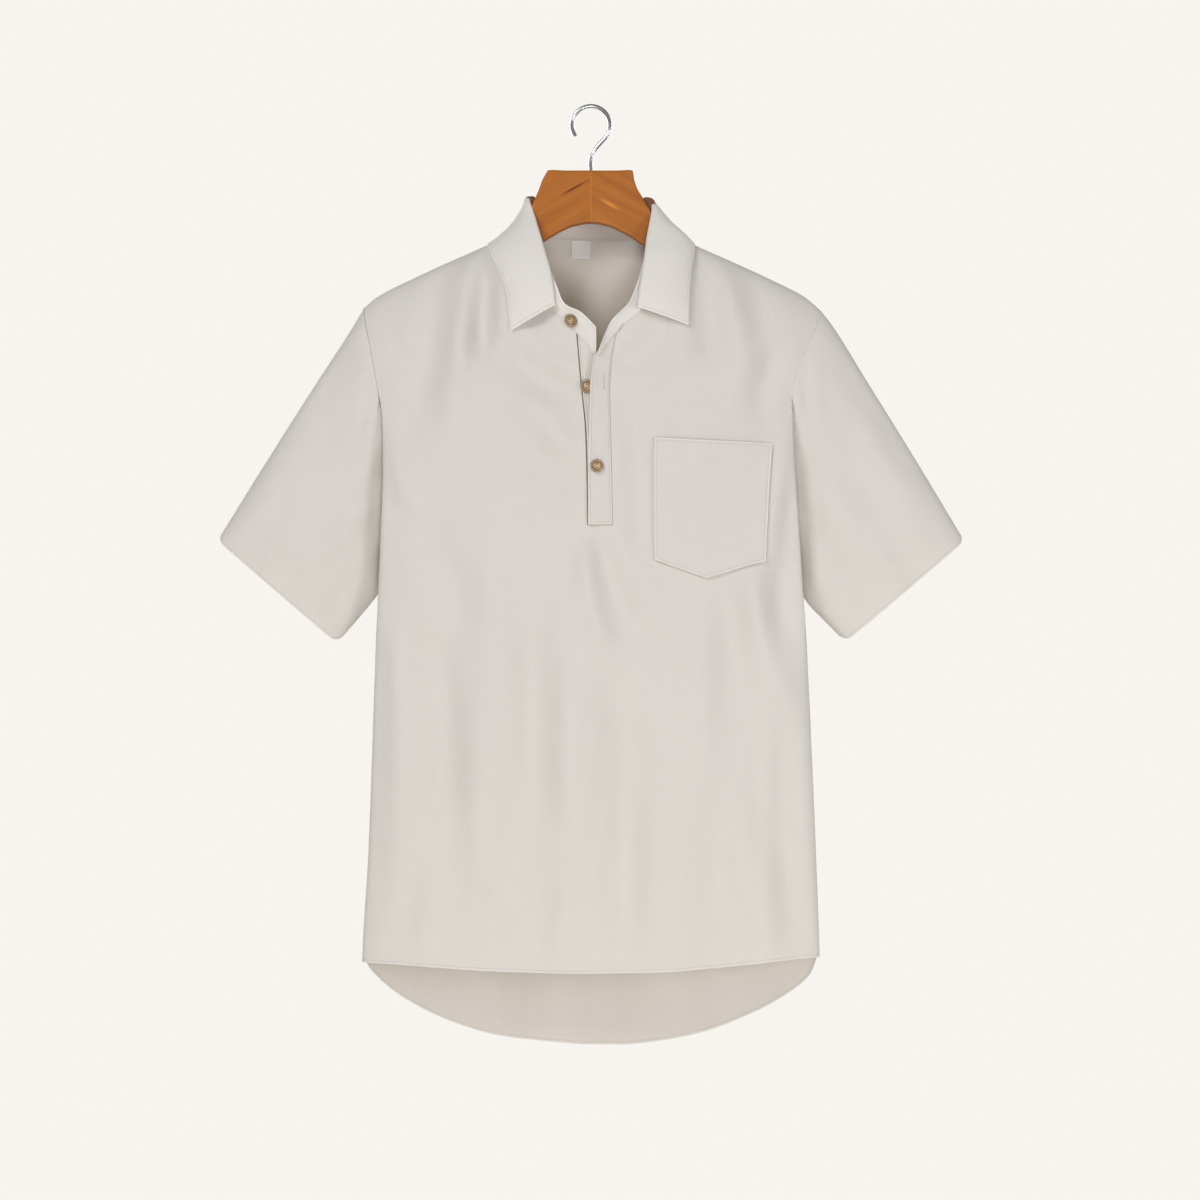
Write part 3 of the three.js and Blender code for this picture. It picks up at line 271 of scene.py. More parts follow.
CREASES = {
    Face.FRONT: (
        # Pulls from the placket's slit towards the collars, and away below its foot.
        Crease((-18, -252), (-64, -196), 8, -3.6, 5),
        Crease((-14, -290), (-112, -214), 14, -5.7, 10),
        Crease((-10, -342), (-86, -262), 13, 4.2, 8),
        Crease((-8, -384), (-70, -330), 12, -4.2, 6),
        Crease((26, -262), (84, -214), 12, -4.2, -5),
        Crease((24, -318), (96, -262), 14, -3.1, -6),
        Crease((4, -424), (62, -548), 14, -5.2, -8),
        Crease((-6, -430), (22, -560), 10, 4.7, -5),
        Crease((44, -322), (50, -470), 13, -5.2, 3),
        # The shoulders: beside the collar and over the hanger's arms.
        Crease((-104, -138), (-112, -262), 8, -8.3, 3),
        Crease((-121, -146), (-136, -330), 11, 4.7, -3),
        Crease((-150, -158), (-164, -300), 12, -4.7, -4),
        Crease((106, -138), (128, -262), 14, -5.5, -4),
        Crease((130, -150), (152, -300), 12, 4.2, 4),
        Crease((160, -166), (172, -286), 13, -2.9, 4),
        Crease((-208, -226), (-164, -330), 12, -4.7, 6),
        Crease((200, -232), (162, -330), 12, -4.2, -5),
        # Drag from under the arms across the chest.
        Crease((-204, -330), (-168, -470), 12, 4.7, 5),
        Crease((-198, -392), (-120, -520), 15, -5.2, 8),
        Crease((200, -372), (188, -560), 10, -4.7, -4),
        Crease((196, -330), (182, -470), 11, 3.6, -3),
        # The hanging cloth of the skirt.
        Crease((154, -452), (214, -640), 14, 4.8, -6),
        Crease((132, -470), (164, -760), 14, -3.7, 5),
        Crease((104, -520), (116, -740), 17, 4.4, 4),
        Crease((-194, -520), (-196, -840), 10, 3.3, 4),
        Crease((-160, -520), (-158, -730), 16, -4.4, 4),
        Crease((-96, -460), (-92, -720), 18, 4.8, -4),
        Crease((-58, -500), (-46, -850), 14, -4.8, -4),
        Crease((-16, -480), (-18, -730), 17, 4.4, 3),
        Crease((30, -560), (26, -868), 18, -4.1, 4),
        Crease((-28, -770), (-32, -866), 11, 2.8, 0),
        Crease((60, -700), (74, -866), 14, 2.8, -3),
        Crease((-102, -780), (-94, -864), 12, -4.8, 0),
        Crease((-150, -760), (-168, -866), 13, 2.8, 2),
        Crease((128, -740), (140, -862), 13, -3.3, 3),
        Crease((190, -620), (203, -850), 10, -4.1, -3),
        Crease((172, -740), (168, -862), 11, 2.7, 3),
    ),
    Face.BACK: (
        Crease((-60, -150), (-84, -330), 14, -2.4, 6),
        Crease((64, -150), (80, -310), 14, -2.2, -5),
        Crease((0, -170), (6, -420), 18, 2.2, 4),
        Crease((-24, -480), (-30, -760), 16, -2.4, 4),
        Crease((-200, -380), (-120, -500), 14, -2.6, -6),
        Crease((196, -370), (128, -490), 14, -2.4, 6),
        Crease((-190, -540), (-184, -850), 11, 2.2, 4),
        Crease((-164, -560), (-158, -860), 12, -2.6, 4),
        Crease((-120, -640), (-112, -900), 14, -2.2, -4),
        Crease((-66, -600), (-58, -900), 15, 2.4, 4),
        Crease((-10, -620), (-16, -920), 14, 2.2, 5),
        Crease((58, -580), (66, -920), 12, -2.4, -4),
        Crease((118, -660), (122, -900), 13, -2.2, 4),
        Crease((160, -520), (166, -840), 13, 2.2, -3),
        Crease((184, -560), (190, -850), 10, -2.4, -4),
    ),
}


# Mesh helpers


def linear(code: str) -> tuple[float, float, float, float]:
    """Turns an sRGB hex colour into the linear colour that the shaders use."""
    parts = (int(code[at : at + 2], 16) / 255 for at in (1, 3, 5))
    return (*(part / 12.92 if part <= 0.04045 else ((part + 0.055) / 1.055) ** 2.4 for part in parts), 1.0)


def unit(vectors: Array) -> Array:
    """Vectors at length one."""
    return vectors / np.maximum(np.linalg.norm(vectors, axis=-1, keepdims=True), 1e-9)


def grid_normals(grid: Array, ring: bool = False) -> Array:
    """Unit normals of a grid of points.

    Args:
        grid: Rows by columns of points.
        ring: Whether the last column joins the first.

    Returns:
        A normal for each point, on the side that right-hand rows and falling columns give.
    """
    if ring:
        across = np.roll(grid, -1, axis=1) - np.roll(grid, 1, axis=1)
    else:
        across = np.gradient(grid, axis=1)
    return unit(np.cross(across, np.gradient(grid, axis=0)))


def grid_uv(grid: Array, ring: bool = False, level: int = 0) -> Array:
    """Flat cloth coordinates in metres: run across from the middle column, and down from a level row."""
    closed = np.concatenate([grid, grid[:, :1]], axis=1) if ring else grid
    across = np.linalg.norm(np.diff(closed, axis=1), axis=2)
    down = np.linalg.norm(np.diff(closed, axis=0), axis=2)
    u = np.concatenate([np.zeros((len(closed), 1)), np.cumsum(across, axis=1)], axis=1)
    v = np.concatenate([np.zeros((1, closed.shape[1])), np.cumsum(down, axis=0)], axis=0)
    u -= u[:, u.shape[1] // 2][:, None]
    v -= v[level][None]
    return np.stack([u, -v], axis=2) * MM


def make_mesh(name: str, points: Array, faces: Iterable[Sequence[int]], uv: Array | None, finish: Material,
              crisp: float = 40.0) -> Object:
    """Makes an object at the origin, smooth but for edges sharper than crisp degrees.

    Args:
        name: The piece's name.
        points: Its points in millimetres.
        faces: Corners of each face.
        uv: Coordinates of each face corner in metres, or None.
        finish: Its material.
        crisp: Angle above which an edge stays sharp.

    Returns:
        The object, linked to the scene.
    """
    mesh = bpy.data.meshes.new(name)
    mesh.from_pydata((np.asarray(points) * MM).tolist(), [], [list(map(int, face)) for face in faces])
    if uv is not None:
        layer = mesh.uv_layers.new(name="cloth")
        layer.data.foreach_set("uv", np.asarray(uv, dtype=np.float32).ravel())
    mesh.polygons.foreach_set("use_smooth", [True] * len(mesh.polygons))
    mesh.set_sharp_from_angle(angle=math.radians(crisp))
    mesh.materials.append(finish)
    mesh.update()
    item = bpy.data.objects.new(name, mesh)
    bpy.context.scene.collection.objects.link(item)
    return item


def shell(name: str, grid: Array, thickness: float, finish: Material, *, ring: bool = False,
          keep: Array | None = None, normals: Array | None = None, out: float = 0.0,
          level: int = 0, edges: str = "LTRB") -> Object:
    """A closed thin wall on both sides of a grid of points.

    Args:
        name: The piece's name.
        grid: Rows by columns of points in millimetres, seen from outside.
        thickness: Wall of the cloth.
        finish: Its material.
        ring: Whether the last column joins the first.
        keep: Which cells are cloth, all when None.
        normals: Directions in which the skins lie, from the grid when None.
        out: How far the wall's middle lies outside the grid.
        level: Row from which the cloth's coordinates run up and down.
        edges: Which sides are finished edges: left, top, right and bottom.

    Returns:
        The object.
    """
    rows, columns = grid.shape[:2]
    cells = columns if ring else columns - 1
    held = np.ones((rows - 1, cells), bool) if keep is None else keep
    way = grid_normals(grid, ring) if normals is None else normals
    skins = [grid + way * (out + side * thickness / 2) for side in (1, -1)]
    points = np.concatenate([skin.reshape(-1, 3) for skin in skins])
    row, column = np.nonzero(held)
    after = (column + 1) % columns
    a, b = row * columns + column, row * columns + after
    d, c = a + columns, b + columns
    inner = rows * columns
    outside = np.stack([a, b, c, d], axis=1)
    inside = np.stack([a, d, c, b], axis=1) + inner
    flat = grid_uv(grid, ring, level)
    corner = np.stack([
        flat[row, column], flat[row, column + 1], flat[row + 1, column + 1], flat[row + 1, column]], 1)
    faces, uv = [outside, inside], [corner, corner[:, [0, 3, 2, 1]]]

    def rim(wanted: Array, start: Array, end: Array, at: tuple[int, int]) -> None:
        """Closes the wall along one side of the wanted cells."""
        faces.append(np.stack([end, start, start + inner, end + inner], axis=1)[wanted])
        uv.append(corner[:, [at[1], at[0], at[0], at[1]]][wanted])

    padded = np.pad(held, 1)
    if ring:
        padded[:, 0], padded[:, -1] = padded[:, -2], padded[:, 1]
    rim(~padded[row, column + 1], a, b, (0, 1))
    rim(~padded[row + 2, column + 1], c, d, (2, 3))
    rim(~padded[row + 1, column], d, a, (3, 0))
    rim(~padded[row + 1, column + 2], b, c, (1, 2))
    all_faces = np.concatenate(faces)
    used, renamed = np.unique(all_faces, return_inverse=True)
    flat_corners = np.concatenate(uv).reshape(-1, 2)
    item = make_mesh(name, points[used], renamed.reshape(all_faces.shape), flat_corners, finish)
    away = np.tile(edge_distance(grid, edges).ravel(), 2)[used] * MM
    item.data.attributes.new("edge", "FLOAT", "POINT").data.foreach_set("value", away.astype(np.float32))
    return item


def edge_distance(grid: Array, edges: str) -> Array:
    """Distance of each point of a grid to the nearest of its finished edges, along the cloth."""
    across = np.cumsum(np.pad(np.linalg.norm(np.diff(grid, axis=1), axis=2), ((0, 0), (1, 0))), axis=1)
    down = np.cumsum(np.pad(np.linalg.norm(np.diff(grid, axis=0), axis=2), ((1, 0), (0, 0))), axis=0)
    found = {"L": across, "R": across[:, -1:] - across, "T": down, "B": down[-1:] - down}
    return np.minimum.reduce([found[edge] for edge in edges])


class Curve:
    """A smooth line through points, even in the points' numbering."""

    def __init__(self, points: Sequence[Sequence[float]]) -> None:
        """Keeps the points, with one more beyond each end."""
        held = np.array(points, float)
        self.points = np.concatenate([[2 * held[0] - held[1]], held, [2 * held[-1] - held[-2]]])

    def at(self, part: Array | float) -> Array:
        """Points at shares of the curve, centripetal so that it never loops between close points.

        Args:
            part: Shares of the curve from 0 to 1.

        Returns:
            One point for each share.
        """
        count = len(self.points) - 3
        place = np.clip(np.atleast_1d(np.asarray(part, float)), 0, 1) * count
        first = np.minimum(place.astype(int), count - 1)
        share = (place - first)[:, None]
        p0, p1, p2, p3 = (self.points[first + step] for step in range(4))
        t0, t1, t2 = (np.sqrt(np.linalg.norm(b - a, axis=1))[:, None] for a, b in ((p0, p1), (p1, p2), (p2, p3)))
        t0, t2 = np.where(t0 < 1e-4, t1, t0), np.where(t2 < 1e-4, t1, t2)
        start = ((p1 - p0) / t0 - (p2 - p0) / (t0 + t1) + (p2 - p1) / t1) * t1
        end = ((p2 - p1) / t1 - (p3 - p1) / (t1 + t2) + (p3 - p2) / t2) * t1
        square = share * share
        return p1 + start * share + (3 * p2 - 3 * p1 - 2 * start - end) * square + (
            2 * p1 - 2 * p2 + start + end) * square * share


# Body


@dataclass(frozen=True)
class Ripple:
    """Slight unevenness of hanging cloth, made of a few long crossing waves."""

    height: float = 0.34
    waves: int = 9
    seed: int = 11

    def at(self, x: Array, z: Array) -> Array:
        """Height of the waves at each place."""
        chance = np.random.default_rng(self.seed)
        total = np.zeros(np.broadcast(x, z).shape)
        for _ in range(self.waves):
            length = chance.uniform(46, 150)
            lean = chance.normal(0, 0.5)
            phase = chance.uniform(0, 2 * math.pi)
            total += np.sin(2 * math.pi / length * (x * math.cos(lean) + z * math.sin(lean)) + phase)
        return self.height * total / math.sqrt(self.waves)


class Body:
    """Form of the body: where its cloth lies at a share of its section and a height."""

    ARC_STEPS = 72
    TURN_STEPS = 24

    def __init__(self, gap: float = SEAM) -> None:
        """Sets the gap between a panel's side edge and the seam's plane."""
        self.gap = gap
        self.ripples = {Face.FRONT: Ripple(seed=11), Face.BACK: Ripple(seed=23)}

    def section(self, face: Face, right: Array, z: Array) -> tuple[Array, Array, Array]:
        """Fine points of half a section at each height.

        Args:
            face: Which panel.
            right: Whether each place is on the photo's right half.
            z: Heights.

        Returns:
            Half widths, depths and running lengths, one row for each height.
        """
        high = np.minimum(z, LEVELS.columns["z"][-1])
        name = face.name.lower()
        fold = np.where(right, LEVELS.read("fold_right", high), LEVELS.read("fold_left", high))[:, None]
        edge = np.where(right, LEVELS.read("edge_right", high), LEVELS.read("edge_left", high))[:, None]
        middle, turn, end, roll = (
            LEVELS.read(column, high)[:, None]
            for column in (f"{name}_middle", f"{name}_fold", f"{name}_edge", "roll")
        )
        angle = np.linspace(0, math.pi / 2, self.ARC_STEPS + 1)[None]
        part = np.linspace(0, 1, self.TURN_STEPS + 1)[None, 1:]
        reach = np.concatenate([fold * np.sin(angle), mix(fold, edge, smooth(part))], axis=1)
        drop = np.maximum(np.cos(angle), 0) ** roll
        depth = np.concatenate([turn + (middle - turn) * drop, mix(turn, end, part)], axis=1)
        runs = np.hypot(np.diff(reach, axis=1), np.diff(depth, axis=1))
        lengths = np.concatenate([np.zeros((len(runs), 1)), np.cumsum(runs, axis=1)], axis=1)
        return reach, depth, lengths

    @staticmethod
    def along(section: tuple[Array, Array, Array], share: Array) -> tuple[Array, Array]:
        """Half width and depth at a share of each section's length.

        Args:
            section: Half widths, depths and lengths along each section.
            share: One share for each section.

        Returns:
            The half widths and the depths.
        """
        reach, depth, lengths = section
        wanted = np.clip(share, 0, 1) * lengths[:, -1]
        at = np.clip((lengths < wanted[:, None]).sum(axis=1) - 1, 0, lengths.shape[1] - 2)
        rows = np.arange(len(lengths))
        span = np.maximum(lengths[rows, at + 1] - lengths[rows, at], 1e-9)
        part = np.clip((wanted - lengths[rows, at]) / span, 0, 1)
        return (mix(reach[rows, at], reach[rows, at + 1], part), mix(depth[rows, at], depth[rows, at + 1], part))

    def points(self, face: Face, share: Array, z: Array, fine: bool = True) -> Array:
        """Points of the cloth.

        Args:
            face: Which panel.
            share: From -1 at the photo's left edge to 1 at its right one.
            z: Heights, in the same shape.
            fine: Whether the finer creases and ripples are added.

        Returns:
            The points, with a last axis of x, y and z.
        """
        shape = np.shape(share)
        share, z = np.ravel(share), np.ravel(np.broadcast_to(z, shape))
        reach, depth = self.along(self.section(face, share > 0, z), np.abs(share))
        x = np.sign(share) * reach
        below = SHOULDER.read("z", np.abs(x)) - z
        part = np.clip(below / ROUND[face], 0, 1)
        over = np.sqrt(1 - (1 - part) ** 2)
        rise = sum(fold.height(x, z) for fold in FOLDS[face])
        if fine:
            rise = rise + sum(crease.height(x, z) for crease in CREASES[face]) + self.ripples[face].at(x, z)
        rise = rise * smooth((0.97 - np.abs(share)) / 0.15)
        y = face.value * (self.gap + (depth + rise) * over)
        return np.stack([x, y, z], axis=1).reshape(*shape, 3)

    def share_at(self, face: Face, x: Array, z: Array) -> Array:
        """Share of the section at which the cloth has a given x in the front view.

        Args:
            face: Which panel.
            x: Places across.
            z: Heights.

        Returns:
            The shares, negative on the left.
        """
        x, z = np.broadcast_arrays(np.asarray(x, float), np.asarray(z, float))
        shape = x.shape
        x, z = x.ravel(), z.ravel()
        section = self.section(face, x > 0, z)
        total = section[2][:, -1]
        share = np.clip(np.abs(x) / total, 0, 1)
        for _ in range(6):
            share = np.clip(share + (np.abs(x) - self.along(section, share)[0]) / total, 0, 1)
        return (np.where(x < 0, -1, 1) * share).reshape(shape)

    def at(self, face: Face, x: Array | float, z: Array | float, fine: bool = True) -> Array:
        """Points of the cloth at places in the front view."""
        x, z = np.broadcast_arrays(np.asarray(x, float), np.asarray(z, float))
        return self.points(face, self.share_at(face, x, z), z, fine)

    def normal(self, x: Array | float, z: Array | float, reach: float = 2.0) -> Array:
        """Directions out of the front's cloth at places in the front view."""
        x, z = np.broadcast_arrays(np.asarray(x, float), np.asarray(z, float))
        across = self.at(Face.FRONT, x + reach, z) - self.at(Face.FRONT, x - reach, z)
        down = self.at(Face.FRONT, x, z - reach) - self.at(Face.FRONT, x, z + reach)
        way = unit(np.cross(across, down))
        return np.where(way[..., 1:2] > 0, -way, way)


def top_line(face: Face, x: Array) -> Array:
    """Height of a panel's upper edge, along the shoulders and round the neck."""
    neck = NECK_BACK.read("z", x) if face is Face.BACK else np.where(
        x < 0, NECK_LEFT.read("z", x), NECK_RIGHT.read("z", x))
    return np.where(np.abs(x) >= NECK_HALF_WIDTH, SHOULDER.read("z", np.abs(x)), neck)


@dataclass(frozen=True)
class PanelCells:
    """How finely the panels are divided."""

    shoulder: int = 62
    left_neck: int = 36
    slit: int = 12
    right_neck: int = 30
    back_neck: int = 50
    chest: int = 80
    side: int = 14
    skirt: int = 104
    crowding: float = 1.6  # rows lie closer together under the shoulder line


class Panel:
    """One panel of the body, from the shoulders to the hem."""

    HEM_DEPTH = 9.0  # turning of the narrow hem
    HEM_STEP = 0.35  # how much it stands out
    FIRST_TOP, FIRST_FOOT = -160.0, -860.0  # heights from which the two edges are worked out

    def __init__(self, body: Body, face: Face, cells: PanelCells = PanelCells()) -> None:
        """Works out the panel's grid."""
        self.body, self.face, self.cells = body, face, cells
        self.hem = HEM_FRONT if face is Face.FRONT else HEM_BACK
        self.grid = self.make_grid()

    def blocks(self) -> list[tuple[int, Callable[[Array], Array], Callable[[Array], Array]]]:
        """Blocks of columns: how many, and the share at each block's two sides by height."""
        face, body, cells = self.face, self.body, self.cells

        def at(x: Callable[[Array], Array] | float) -> Callable[[Array], Array]:
            """Share of a line that runs down the panel."""
            return lambda z: body.share_at(face, x(z) if callable(x) else x, z)

        def end(sign: float) -> Callable[[Array], Array]:
            """The panel's own side edge."""
            return lambda z: np.full(np.shape(z), sign)

        outer = [(cells.shoulder, end(-1), at(-NECK_HALF_WIDTH)), (cells.shoulder, at(NECK_HALF_WIDTH), end(1))]
        if face is Face.BACK:
            return [outer[0], (cells.back_neck, at(-NECK_HALF_WIDTH), at(NECK_HALF_WIDTH)), outer[1]]
        slit = [at(lambda z, side=side: PLACKET.read(side, z)) for side in ("slit_left", "slit_right")]
        return [
            outer[0],
            (cells.left_neck, at(-NECK_HALF_WIDTH), slit[0]),
            (cells.slit, slit[0], slit[1]),
            (cells.right_neck, slit[1], at(NECK_HALF_WIDTH)),
            outer[1],
        ]

    def shares(self, z: Array) -> Array:
        """Shares of every column, for heights given one for each row and column.

        Args:
            z: Heights by rows and columns.

        Returns:
            The section's shares by rows and columns.
        """
        found, at = [], 0
        for number, (count, start, end) in enumerate(self.blocks()):
            first = 0 if number == 0 else 1
            columns = z[:, at : at + count + 1 - first]
            part = (np.arange(first, count + 1) / count)[None]
            found.append(mix(start(columns), end(columns), part))
            at += count + 1 - first
        return np.concatenate(found, axis=1)

    def make_grid(self) -> Array:
        """Points of the panel, rows from the top line to the hem."""
        cells = self.cells
        count = sum(block[0] for block in self.blocks()) + 1
        top, foot = np.full((1, count), self.FIRST_TOP), np.full((1, count), self.FIRST_FOOT)
        for _ in range(8):
            top = top_line(self.face, self.body.points(self.face, self.shares(top), top)[..., 0])
        for _ in range(5):
            foot = self.hem.read("z", self.body.points(self.face, self.shares(foot), foot)[..., 0])
        chest = (np.arange(cells.chest + 1) / cells.chest)[:, None] ** cells.crowding
        side = (np.arange(1, cells.side + 1) / cells.side)[:, None]
        skirt = (np.arange(1, cells.skirt + 1) / cells.skirt)[:, None]
        z = np.concatenate([
            mix(top, PLACKET_FOOT, chest),
            mix(PLACKET_FOOT, UNDERARM, side) + 0 * top,
            mix(UNDERARM, foot, skirt),
        ])
        grid = self.body.points(self.face, self.shares(z), z)
        return self.turn_hem(grid, z - foot)

    def turn_hem(self, grid: Array, above: Array) -> Array:
        """Raises the narrow turned hem a little over the cloth above it."""
        step = self.HEM_STEP * smooth((self.HEM_DEPTH + 0.8 - above) / 1.6)
        grid[..., 1] += self.face.value * step * smooth(np.abs(grid[..., 1]) / 6)
        return grid

    def edge_normals(self, grid: Array) -> Array:
        """Normals that stay level at the side seams."""
        way = grid_normals(grid)
        for column in (0, -1):
            closed = np.abs(grid[:, column, 1]) < self.body.gap + 0.01
            way[closed, column, 1] = 0
        return unit(way)

    def build(self, finish: Material) -> Object:
        """Makes the panel.

        Args:
            finish: Material of the cloth.

        Returns:
            The panel.
        """
        grid = self.grid if self.face is Face.FRONT else self.grid[:, ::-1]
        keep = np.ones((grid.shape[0] - 1, grid.shape[1] - 1), bool)
        if self.face is Face.FRONT:
            first = self.cells.shoulder + self.cells.left_neck
            keep[: self.cells.chest, first : first + self.cells.slit] = False
        item = shell(f"cloth_{self.face.name.lower()}", grid, SHELL, finish, keep=keep, out=SHELL_OUT,
                     normals=self.edge_normals(grid), level=self.cells.chest, edges="B")
        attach(item, "root")
        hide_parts(self.face.name.lower())
        return item


# Sleeves

SLEEVES = {
    Side.LEFT: Table(
        "part top_x top_z under_x under_z depth",
        (0, 226.6, -202, 200, -467.6, 18),
        (0.1, 238.3, -221.3, 204, -473, 21),
        (0.35, 276, -277.2, 214, -488.2, 25),
        (0.7, 328.9, -360.2, 233.3, -511.8, 25),
        (1, 373.4, -432, 253.5, -535.3, 22),
    ),
    Side.RIGHT: Table(
        "part top_x top_z under_x under_z depth",
        (0, 229.6, -203, 200, -467.6, 18),
        (0.1, 241.2, -217.6, 204, -474.4, 21),
        (0.35, 278, -276.2, 214.5, -493, 25),
        (0.7, 330, -360.2, 234.6, -514.5, 25),
        (1, 373.4, -432.6, 254, -534, 22),
    ),
}
# Creases of the sleeves, by |x| and height. The first rows start under the armhole's fold.
SLEEVE_CREASES = {
    Side.LEFT: (
        Crease((213, -250), (220, -350), 6, -2.6, 2, 0.5),
        Crease((214, -340), (262, -452), 12, 2.2, -6),
        Crease((212, -372), (300, -432), 13, -2.2, -6),
        Crease((214, -410), (278, -500), 11, -2.4, 5),
        Crease((246, -246), (322, -366), 12, -1.8, -5),
        Crease((268, -300), (340, -420), 13, 1.8, 5),
        Crease((300, -400), (346, -456), 10, -1.4, 3),
        Crease((236, -462), (262, -520), 8, -1.8, 2),
        Crease((322, -452), (318, -480), 8, 1.2, 0),
    ),
    Side.RIGHT: (
        Crease((212, -240), (216, -350), 6, -2.6, -2, 0.5),
        Crease((212, -330), (270, -444), 13, 2.2, 6),
        Crease((210, -350), (298, -416), 13, -2.2, 6),
        Crease((214, -404), (276, -494), 11, -2.4, -5),
        Crease((250, -256), (326, -366), 12, -1.8, 5),
        Crease((272, -306), (338, -424), 13, 1.8, -5),
        Crease((292, -420), (338, -474), 10, -1.4, -3),
        Crease((238, -462), (264, -518), 8, -1.8, 2),
        Crease((306, -470), (302, -492), 8, 1.2, 0),
    ),
}


class Sleeve:
    """A short sleeve that hangs from its armhole."""

    STATIONS = 62
    CROWDING = 1.15  # stations lie closer together by the armhole
    CAP_REACH = 0.4  # share of the sleeve over which its head loses the armhole's form
    CREASE_REACH = 0.14  # and over which its creases grow
    UNEVENNESS = 0.7  # against the body's
    # The sleeve's head lies this far from the panel's edge, or under it, and this far in.
    SEAM_STEP = {Side.LEFT: 0.2, Side.RIGHT: -0.8}
    SEAM_SINK = {Side.LEFT: 0.2, Side.RIGHT: 0.6}
    FOLDED_STEP = 1.5
    CUFF_DEPTH = 10.0  # turning at the mouth
    CUFF_STEP = 0.3
    MOUTH_WIDTH = 158.0
    MOUTH_CORNER = 8.0  # radius at both ends of the mouth, seen from the front
    UPPER_LENGTH = 273.0  # of the sleeve along its upper fold
    UNDER_LENGTH = 86.0  # and along the underarm

    def __init__(self, side: Side, body: Body, front: Panel, back: Panel) -> None:
        """Works out the sleeve's grid from the panels' edges."""
        self.side, self.body = side, body
        self.rows = SLEEVES[side]
        self.ripple = Ripple(seed=31 + side.value)
        self.grid = self.make_grid(front, back)

    def oval(self, part: Array, lie: Array, facing: Array) -> Array:
        """Points of the plain sleeve: lie is 0 on its upper line and 1 under the arm.

        Args:
            part: Share of the way from the armhole to the mouth.
            lie: Place round the sleeve.
            facing: -1 on its front half and 1 on its back half.

        Returns:
            The points.
        """
        beside = np.minimum(self.MOUTH_CORNER, self.MOUTH_WIDTH * np.minimum(lie, 1 - lie))
        cut = self.MOUTH_CORNER - np.sqrt(self.MOUTH_CORNER**2 - (self.MOUTH_CORNER - beside) ** 2)
        part = part - cut / mix(self.UPPER_LENGTH, self.UNDER_LENGTH, lie) * part**6
        top_x, top_z, under_x, under_z, depth = (
            self.rows.read(column, part) for column in ("top_x", "top_z", "under_x", "under_z", "depth"))
        across = 2 * np.sqrt(np.maximum(0, lie * (1 - lie)))
        x, z = mix(top_x, under_x, lie), mix(top_z, under_z, lie)
        return np.stack([x, facing * depth * across**0.8, z], axis=-1)

    def ring(self, front: Panel, back: Panel) -> tuple[Array, Array, Array]:
        """The armhole, from the shoulder down the front and up the back.

        Args:
            front: The front panel.
            back: The back panel.

        Returns:
            Its points with x as distance from the middle, their lie and their facing.
        """
        last = front.cells.chest + front.cells.side
        column = 0 if self.side is Side.LEFT else -1
        points, lies, facings = [], [], []
        for panel, rows in ((front, range(last + 1)), (back, range(last - 1, 0, -1))):
            held = np.array(rows)
            edge = panel.grid[held, column].copy()
            inner = np.full(len(held), 0.985 * self.side.value)
            before = self.body.points(panel.face, inner, edge[:, 2], fine=False)
            run = edge - before
            run[:, 2] = 0
            run = unit(run)
            lie = (panel.grid[0, column, 2] - edge[:, 2]) / (panel.grid[0, column, 2] - UNDERARM)
            edge += run * (self.SEAM_STEP[self.side] + self.FOLDED_STEP * run[:, 1:2] ** 2)
            edge[:, 1] -= panel.face.value * self.SEAM_SINK[self.side]
            ends = (held == 0) | (held == last)
            edge[ends, 1] = 0
            edge[:, 0] = np.abs(edge[:, 0])
            edge[held == last] += (2, 0, 0.6)
            points.append(edge)
            lies.append(np.clip(lie, 0, 1))
            facings.append(np.full(len(held), panel.face.value))
        return np.concatenate(points), np.concatenate(lies), np.concatenate(facings)

    def make_grid(self, front: Panel, back: Panel) -> Array:
        """Points of the sleeve, rows from the armhole to the mouth.

        Args:
            front: The front panel, whose armhole it follows.
            back: The back panel.

        Returns:
            The sleeve's grid.
        """
        ring, lie, facing = self.ring(front, back)
        shift = ring - self.oval(np.zeros(len(ring)), lie, facing)
        part = np.linspace(0, 1, self.STATIONS + 1) ** self.CROWDING
        oval = self.oval(part[:, None] + 0 * lie, lie[None] + 0 * part[:, None], facing[None] + 0 * part[:, None])
        grid = oval + shift[None] * (1 - smooth(part / self.CAP_REACH))[:, None, None]
        x, z = grid[..., 0], grid[..., 2]
        rise = sum(crease.height(x, z) for crease in SLEEVE_CREASES[self.side])
        rise = rise + self.UNEVENNESS * self.ripple.at(x, z)
        across = 2 * np.sqrt(np.maximum(0, lie * (1 - lie)))[None]
        length = np.linalg.norm(grid[-1] - grid[0], axis=-1)[None]
        left = (1 - part)[:, None] * length
        cuff = self.CUFF_STEP * smooth((self.CUFF_DEPTH + 1 - left) / 2)
        rise = rise * smooth(across / 0.8) * smooth(part / self.CREASE_REACH)[:, None]
        grid[..., 1] += facing[None] * (rise + cuff * smooth(across / 0.3))
        grid[..., 0] *= self.side.value
        return grid

    def build(self, finish: Material) -> Object:
        """Makes the sleeve.

        Args:
            finish: Material of the cloth.

        Returns:
            The sleeve.
        """
        name = f"sleeve_{self.side.name.lower()}"
        grid = self.grid if self.side is Side.LEFT else self.grid[:, ::-1]
        item = shell(f"cloth_{name}", grid, SHELL, finish, ring=True, out=SHELL_OUT, level=self.STATIONS,
                     edges="B")
        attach(item, "root")
        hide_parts(name)
        return item


# What lies on the front


